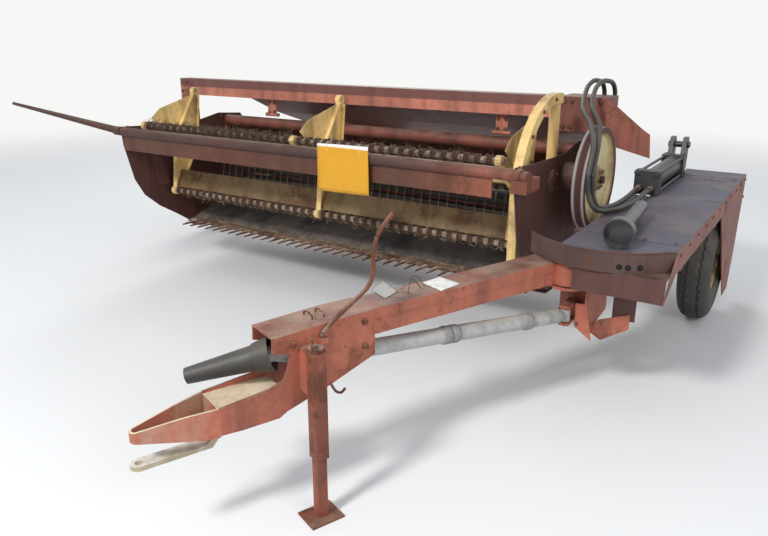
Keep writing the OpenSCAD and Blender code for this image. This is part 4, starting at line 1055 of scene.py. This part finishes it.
class MOWER_OT_fasteners(MowerOperator, bpy.types.Operator):
    """Set bolt heads, rivets and bearing caps where sheets and beams are joined"""
    bl_idname = "mower.fasteners"
    bl_label = "Fasteners"

    # Heads on solids of the frame: node, x, y and z where rays start, their way, width, finish
    frame_heads = (
        ("main_beam", [-0.929, -0.881], 0.2, [1.11, 1.17], REAR, None, "rusty"),
        ("main_beam", [0.881, 0.929], 0.2, [1.11, 1.17], REAR, None, "rusty"),
        ("main_beam", [-1.78, -1.73], 0.2, [1.225, 1.295], REAR, None, "rusty"),
        ("left_shoulder", [1.295, 1.335, 1.500], 0.2, [1.155, 1.295], REAR, 0.022, "rusty"),
        ("left_leg", 1.3, [0.465, 0.515], [0.60, 0.68, 0.98, 1.04], LEFT, None, "rusty"),
        ("left_leg", [1.445, 1.499], 0.3, [0.72, 1.02], REAR, None, "rusty"),
        ("side_rail", 1.9, [-0.52, -0.44, 0.30, 0.70, 1.24], [0.59, 0.65], RIGHT, None, "rusty"),
        ("gearbox", [1.665, 1.775], -0.56, [0.40, 0.53], REAR, 0.022, "rusty"),
        ("gearbox", [1.68, 1.76, 1.85], -0.9, [0.40, 0.56], REAR, 0.014, "rusty"),
        ("gearbox", 1.5, [-0.48, -0.36], [0.40, 0.53], LEFT, 0.022, "rusty"),
        ("lower_beam", [-1.76, -1.70, 1.50, 1.70], 0.7, 0.51, REAR, None, "rusty"),
        # Heads on the deck skirt and the rear hood wear the same painted shade as these solids
        ("deck_skirt", 2.3, np.arange(-0.74, 1.41, 0.194), 0.770, RIGHT, 0.012, "dull"),
        ("deck_skirt", 2.3, [-0.750, 1.395], [0.66, 0.54, 0.42], RIGHT, 0.014, "dull"),
        ("deck_top", np.arange(1.74, 2.13, 0.125), [-0.485, 1.140], 1.0, DOWN, 0.011, "deck"),
        ("rear_hood", np.arange(-1.30, 1.25, 0.212), [0.470, 1.270], 1.5, DOWN, 0.014, "dull"),
        ("windrow_shield_right", [-0.62, -0.80, -0.98], 1.8, 0.86, FRONT, 0.016, "rusty"),
        ("windrow_shield_left", [0.62, 0.80, 0.98], 1.8, 0.86, FRONT, 0.016, "rusty"),
    )
    # Pitch of the guards and the knife's sections
    pitch = 0.076
    # Outer faces of the end sheets
    end_face = 1.4002

    def make(self, sizes, colours):
        heads = Heads(sizes.bolt)
        for node, xs, ys, zs, way, width, finish in self.frame_heads:
            heads.cast("frame", node, lattice(xs, ys, zs), way, width, finish)
        self.on_tongue_and_clevis(heads)
        self.on_header(heads)
        self.on_knife_reel_and_pulley(heads)
        bolted = np.array([-0.053, 0.053])
        for y, way in ((0.4398, FRONT), (1.1502, REAR)):
            spots = lattice(CYLINDER_X + bolted, y, CYLINDER_Z + bolted)
            heads.add("frame", spots, way, 0.026, "black_paint")
        heads.make()
        self.bearing_caps()

    def on_tongue_and_clevis(self, heads):
        leftwards = np.array([math.cos(SWING), -math.sin(SWING), 0.0])
        bolted = ((1.075, 0.575), (1.075, 0.67), (1.365, 0.655))
        for side in (-1, 1):
            beside = side * 0.3
            spots = [on_tongue(GOOSENECK + beside, ahead, z) for ahead, z in bolted]
            heads.cast("tongue", "gooseneck", spots, -side * leftwards, 0.020)
            heads.cast("frame", "tongue_clevis", lattice(1.720 + beside, -0.585, [0.60, 0.70]), (-side, 0, 0))

    def on_header(self, heads):
        arc = np.radians([96, 118, 140, 162, 184])
        heads.add("header", ring_across(1.3705, 0.040, 0.890, 0.444, arc), LEFT, 0.017)
        # Round the edge of an end sheet, as y and z: along the top, down the front, up the rear and below
        edge = [(y, 1.055) for y in np.arange(-0.50, 0.36, 0.17)]
        edge += [(-0.535, z) for z in (0.95, 0.80, 0.66)]
        edge += [(0.87, z) for z in (0.55, 0.68, 0.80)]
        edge += [(y, 0.31) for y in (0.10, 0.34, 0.58)]
        for side in (-1, 1):
            for y, z, radius, thick, width in BEARINGS:
                x = side * (self.end_face + 0.0003 + thick)
                spots = ring_across(x, y, z, 0.74 * radius, np.pi / 4 + circle(4))
                heads.add("header", spots, (side, 0, 0), width, "maroon")
            for x, way in ((1.2, side), (1.5, -side)):
                spots = places((side * x, y, z) for y, z in edge)
                heads.cast("header", side_name(side) + "_end_sheet", spots, (way, 0, 0), 0.016)
        guards = np.arange(-17.5, 18) * self.pitch
        heads.cast("header", "cutter_bar", lattice(guards, -0.030, 0.2), UP, 0.016)

    def on_knife_reel_and_pulley(self, heads):
        rivets = np.repeat(np.arange(-17, 18) * self.pitch, 2) + np.tile([-0.016, 0.016], 35)
        heads.cast("knife", "knife", lattice(rivets, -0.018, 0.4), DOWN, 0.009)
        for x, arm, beside, side in itertools.product(SPIDERS, ARMS, (20, -20), (-1, 1)):
            heads.add("reel", on_reel(arm + beside, 0.105, x + side * 0.0065), (side, 0, 0), 0.015)
        heads.add("drive_pulley", ring_across(1.5952, 0.125, 0.920, 0.044, circle(6)), LEFT, 0.014)

    def bearing_caps(self):
        for side in (-1, 1):
            caps = []
            for y, z, r, thick, _ in BEARINGS:
                profile = [(r, 0.0), (r, thick * 0.8), (r - 0.002, thick), (r * 0.45, thick),
                           (r * 0.40, thick * 1.3), (0.0005, thick * 1.3)]
                caps.append(lathe(profile, place(side * self.end_face, y, z), (side, 0, 0), 32))
            join_piece("bearing_caps_" + side_name(side), caps, "header", "maroon", "maroon")


class MOWER_OT_trim(MowerOperator, bpy.types.Operator):
    """Add the deck's seams and rolled edge, weld beads, clamps, rings and the hook under the tongue"""
    bl_idname = "mower.trim"
    bl_label = "Trim"

    # Where holes stand on the deck's front band, drawn as near-black discs of painted shade
    holes = ((1.957, -0.759, 0.744), (1.990, -0.747, 0.742), (2.032, -0.725, 0.744))
    hole = [(0.0125, -0.0005), (0.0125, 0.0008), (0.0005, 0.0008)]
    # The hook below the tongue, and a clamp over its top as distance from the middle and height
    hook = ((-0.018, 1.217, 0.463), (0.000, 1.217, 0.452), (0.020, 1.215, 0.444), (0.037, 1.205, 0.446),
            (0.045, 1.195, 0.462))
    clamp = ((-0.030, 0.0), (-0.028, 0.012), (-0.010, 0.018), (0.010, 0.018), (0.028, 0.012), (0.030, 0.0))
    # Turned shapes as radius and distance along the axis
    collar = [(0.0325, -0.018), (0.0365, -0.017), (0.0380, -0.010), (0.0380, 0.010), (0.0365, 0.017),
              (0.0325, 0.018)]
    shaft_ring = [(0.0285, -0.006), (0.0312, -0.004), (0.0312, 0.004), (0.0285, 0.006)]
    jack_cap = [(0.030, 0.0), (0.030, 0.012), (0.024, 0.014), (0.0005, 0.014)]
    cylinder_band = [(0.058, -0.0035), (0.060, -0.002), (0.060, 0.002), (0.058, 0.0035)]
    # The jack's crank, from the middle of its cap
    crank = [(0.0, 0.0, 0.0), (0.0, 0.0, 0.014), (0.010, -0.018, 0.022), (0.030, -0.052, 0.024),
             (0.034, -0.060, 0.036), (0.034, -0.060, 0.070)]

    def make(self, sizes, colours):
        self.add_deck_trim()
        self.add_tongue_trim()
        self.add_driveline_rings()
        foot = on_tongue(0.072, 1.322, 0.6535)
        join_piece("jack_handle", [rod(foot + self.crank, 0.0055, sides=10)], "tongue", "worn", "rust")
        cap = lathe(self.jack_cap, foot - (0, 0, 0.0035), UP, 32)
        join_piece("jack_cap", [cap], "tongue", "rusty", "rust")
        bands = [lathe(self.cylinder_band, place(CYLINDER_X, y, CYLINDER_Z), REAR, 40)
                 for y in (0.530, 1.060)]
        join_piece("cylinder_bands", bands, "frame", "worn", "black_paint")

    def add_deck_trim(self):
        """Seams across the deck, and the rolled edge and the holes of its front band, the holes drawn as
        near-black discs of painted shade.
        """
        seams = [bar(place(1.705, y - 0.003, 0.7995), place(2.146, y + 0.003, 0.8022))
                 for y in (-0.515, 1.090, 1.190)]
        join_piece("deck_seams", seams, "frame", "deck", "dusk", smooth=False)
        band_radius, edge_radius, end = 0.4, 0.3975, 2.135
        a = np.radians(np.linspace(258, 322, 48))
        a = a[BAND_X + band_radius * np.cos(a) < end]
        arc = place(BAND_X, BAND_Y, 0.8035) + edge_radius * np.stack([np.cos(a), np.sin(a), 0 * a], 1)
        join_piece("deck_rolled_edge", [tube(arc, 0.0055, 10)], "frame", "maroon", "maroon")
        holes = []
        for x, y, z in self.holes:
            out = np.array([x - BAND_X, y - BAND_Y, 0.0])
            out /= np.linalg.norm(out)
            holes.append(lathe(self.hole, place(BAND_X, BAND_Y, z) + out * (band_radius + 0.0003), out, 24))
        join_piece("band_holes", holes, "frame", "dark", "black")

    def add_tongue_trim(self):
        """Weld beads on the tongue's side, the hook below it and the clamps above."""
        side = -0.0148
        beads = [tube(line_of(on_tongue(side, 0.10, 0.660), on_tongue(side, 1.03, 0.660), 60), 0.0028, 8)]
        for across in (-0.0065, -0.1635):
            beads.append(rod([on_tongue(across, 1.035, z) for z in (0.532, 0.62, 0.703)], 0.0032))
        beads.append(tube(line_of(on_tongue(side, 0.03, 0.607), on_tongue(side, 0.03, 0.703), 24), 0.003, 8))
        join_piece("tongue_weld_beads", beads, "tongue", "red", "steel")
        hook = rod([on_tongue(*p) for p in self.hook], 0.005, 30)
        join_piece("tongue_hook", [hook], "tongue", "rusty", "rust")
        clamps = [tube([on_tongue(GOOSENECK + w, ahead, TONGUE_TOP + h) for w, h in self.clamp], 0.0032, 8)
                  for ahead in (1.215, 1.262)]
        join_piece("tongue_clamps", clamps, "tongue", "worn", "rust")

    def add_driveline_rings(self):
        """Plastic collars on the driveline and rings on its front shaft."""
        start, knee = on_tongue(0.0, 0.05, 0.454), on_tongue(GOOSENECK, 1.2, 0.54)
        nose, tip = on_tongue(GOOSENECK, 1.43, 0.605), on_tongue(-0.235, 1.662, 0.53)
        run, lead = knee - start, tip - nose
        lead /= np.linalg.norm(lead)
        collars = [lathe(self.collar, start + run * share, run, 32) for share in (0.16, 0.50, 0.535, 0.90)]
        join_piece("driveline_collars", collars, "tongue", "collar", "grey")
        rings = [lathe(self.shaft_ring, tip - lead * back, lead, 32) for back in (0.030, 0.062, 0.094)]
        join_piece("shaft_rings", rings, "tongue", "black_paint", "black")


class MOWER_OT_hay(MowerOperator, bpy.types.Operator):
    """Wrap dry hay round the bars of the reel and lay some on the cutter bar and the pan"""
    bl_idname = "mower.hay"
    bl_label = "Hay"

    # Name, angle of the arm, first and last x, number of stalks, height of the lumps, how much the
    # stalks droop, share of the mean length, finish
    wrapped = (
        ("hay_on_front_bar", 157, -1.29, -0.06, 1700, 0.024, 0.10, 0.7, "dark_straw"),
        ("hay_on_front_bar_left", 157, 0.0, 1.22, 700, 0.012, 0.10, 0.6, "dark_straw"),
        ("hay_on_lower_bar", 250, -1.29, 1.22, 700, 0.010, 0.25, 0.42, "straw"),
        ("hay_on_rear_bar", 340, -1.29, 1.22, 300, 0.010, 0.25, 0.5, "dark_straw"),
    )
    # Name, y and z of the front line, spread to its rear, number of stalks, seed, spread of directions
    lying = (
        ("hay_on_cutter_bar", -0.012, 0.330, 0.012, 420, 21, (1.0, 0.3, 0.15)),
        ("hay_on_pan", 0.010, 0.332, 0.120, 60, 22, (1.0, 0.5, 0.25)),
    )
    bar_radius = 0.016

    def make(self, sizes, colours):
        random = np.random.default_rng(4)
        for name, arm, low, high, count, thick, droop, share, finish in self.wrapped:
            x = random.uniform(low, high, count)
            a = random.uniform(0, 2 * np.pi, count)
            lump = 0.5 + 0.5 * np.sin(x * 9.0 + arm) * np.sin(x * 23.0)
            r = self.bar_radius + thick * lump * random.uniform(0.1, 1.0, count)
            around = np.stack([np.zeros(count), np.cos(a), np.sin(a)], 1)
            starts = on_reel(arm, REEL_RADIUS, x) + around * r[:, None]
            ways = np.cross(around, LEFT) + random.normal(size=(count, 3)) * (0.9, 0.35, 0.35)
            ways[:, 0] *= np.sign(random.normal(size=count)) * 1.6
            made = stalk_set(starts, ways, sizes.straw * share, droop, 0.012, arm)
            piece(name, *made, "reel", finish, "rust", smooth=False)
        for name, y, z, spread, count, seed, way in self.lying:
            x = random.uniform(-1.37, 1.36, count)
            off = np.abs(random.normal(size=count) * spread)
            starts = np.stack([x, y + off, z + off * 0.40 + 0.004], 1) + SHIFT
            ways = random.normal(size=(count, 3)) * way
            ways[:, 2] = np.abs(ways[:, 2]) * 0.4
            made = stalk_set(starts, ways, sizes.straw * 0.6, 0.0, 0.006, seed)
            piece(name, *made, "header", "straw", "rust", smooth=False)


class MOWER_PT_panel(bpy.types.Panel):
    """Lists the sizes, the colours and a button for each group of pieces"""
    bl_idname = "MOWER_PT_panel"
    bl_label = "Mower conditioner"
    bl_space_type = "VIEW_3D"
    bl_region_type = "UI"
    bl_category = "Mower"

    def draw(self, context):
        for holder in (context.scene.mower_sizes, context.scene.mower_colours):
            for name in type(holder).__annotations__:
                self.layout.prop(holder, name)
        for operator in OPERATORS:
            self.layout.operator(operator.bl_idname)


OPERATORS = [
    MOWER_OT_stage, MOWER_OT_finishes, MOWER_OT_hoses, MOWER_OT_tyres, MOWER_OT_tines, MOWER_OT_webs,
    MOWER_OT_card, MOWER_OT_fasteners, MOWER_OT_trim, MOWER_OT_hay,
]
CLASSES = [MowerSizes, MowerColours, *OPERATORS, MOWER_PT_panel]


def register():
    for one in CLASSES:
        bpy.utils.register_class(one)
    bpy.types.Scene.mower_sizes = bpy.props.PointerProperty(type=MowerSizes)
    bpy.types.Scene.mower_colours = bpy.props.PointerProperty(type=MowerColours)


def unregister():
    del bpy.types.Scene.mower_colours
    del bpy.types.Scene.mower_sizes
    for one in reversed(CLASSES):
        bpy.utils.unregister_class(one)


def main():
    register()
    for operator in OPERATORS:
        getattr(bpy.ops.mower, operator.bl_idname.split(".")[1])()


if __name__ == "__main__":
    main()
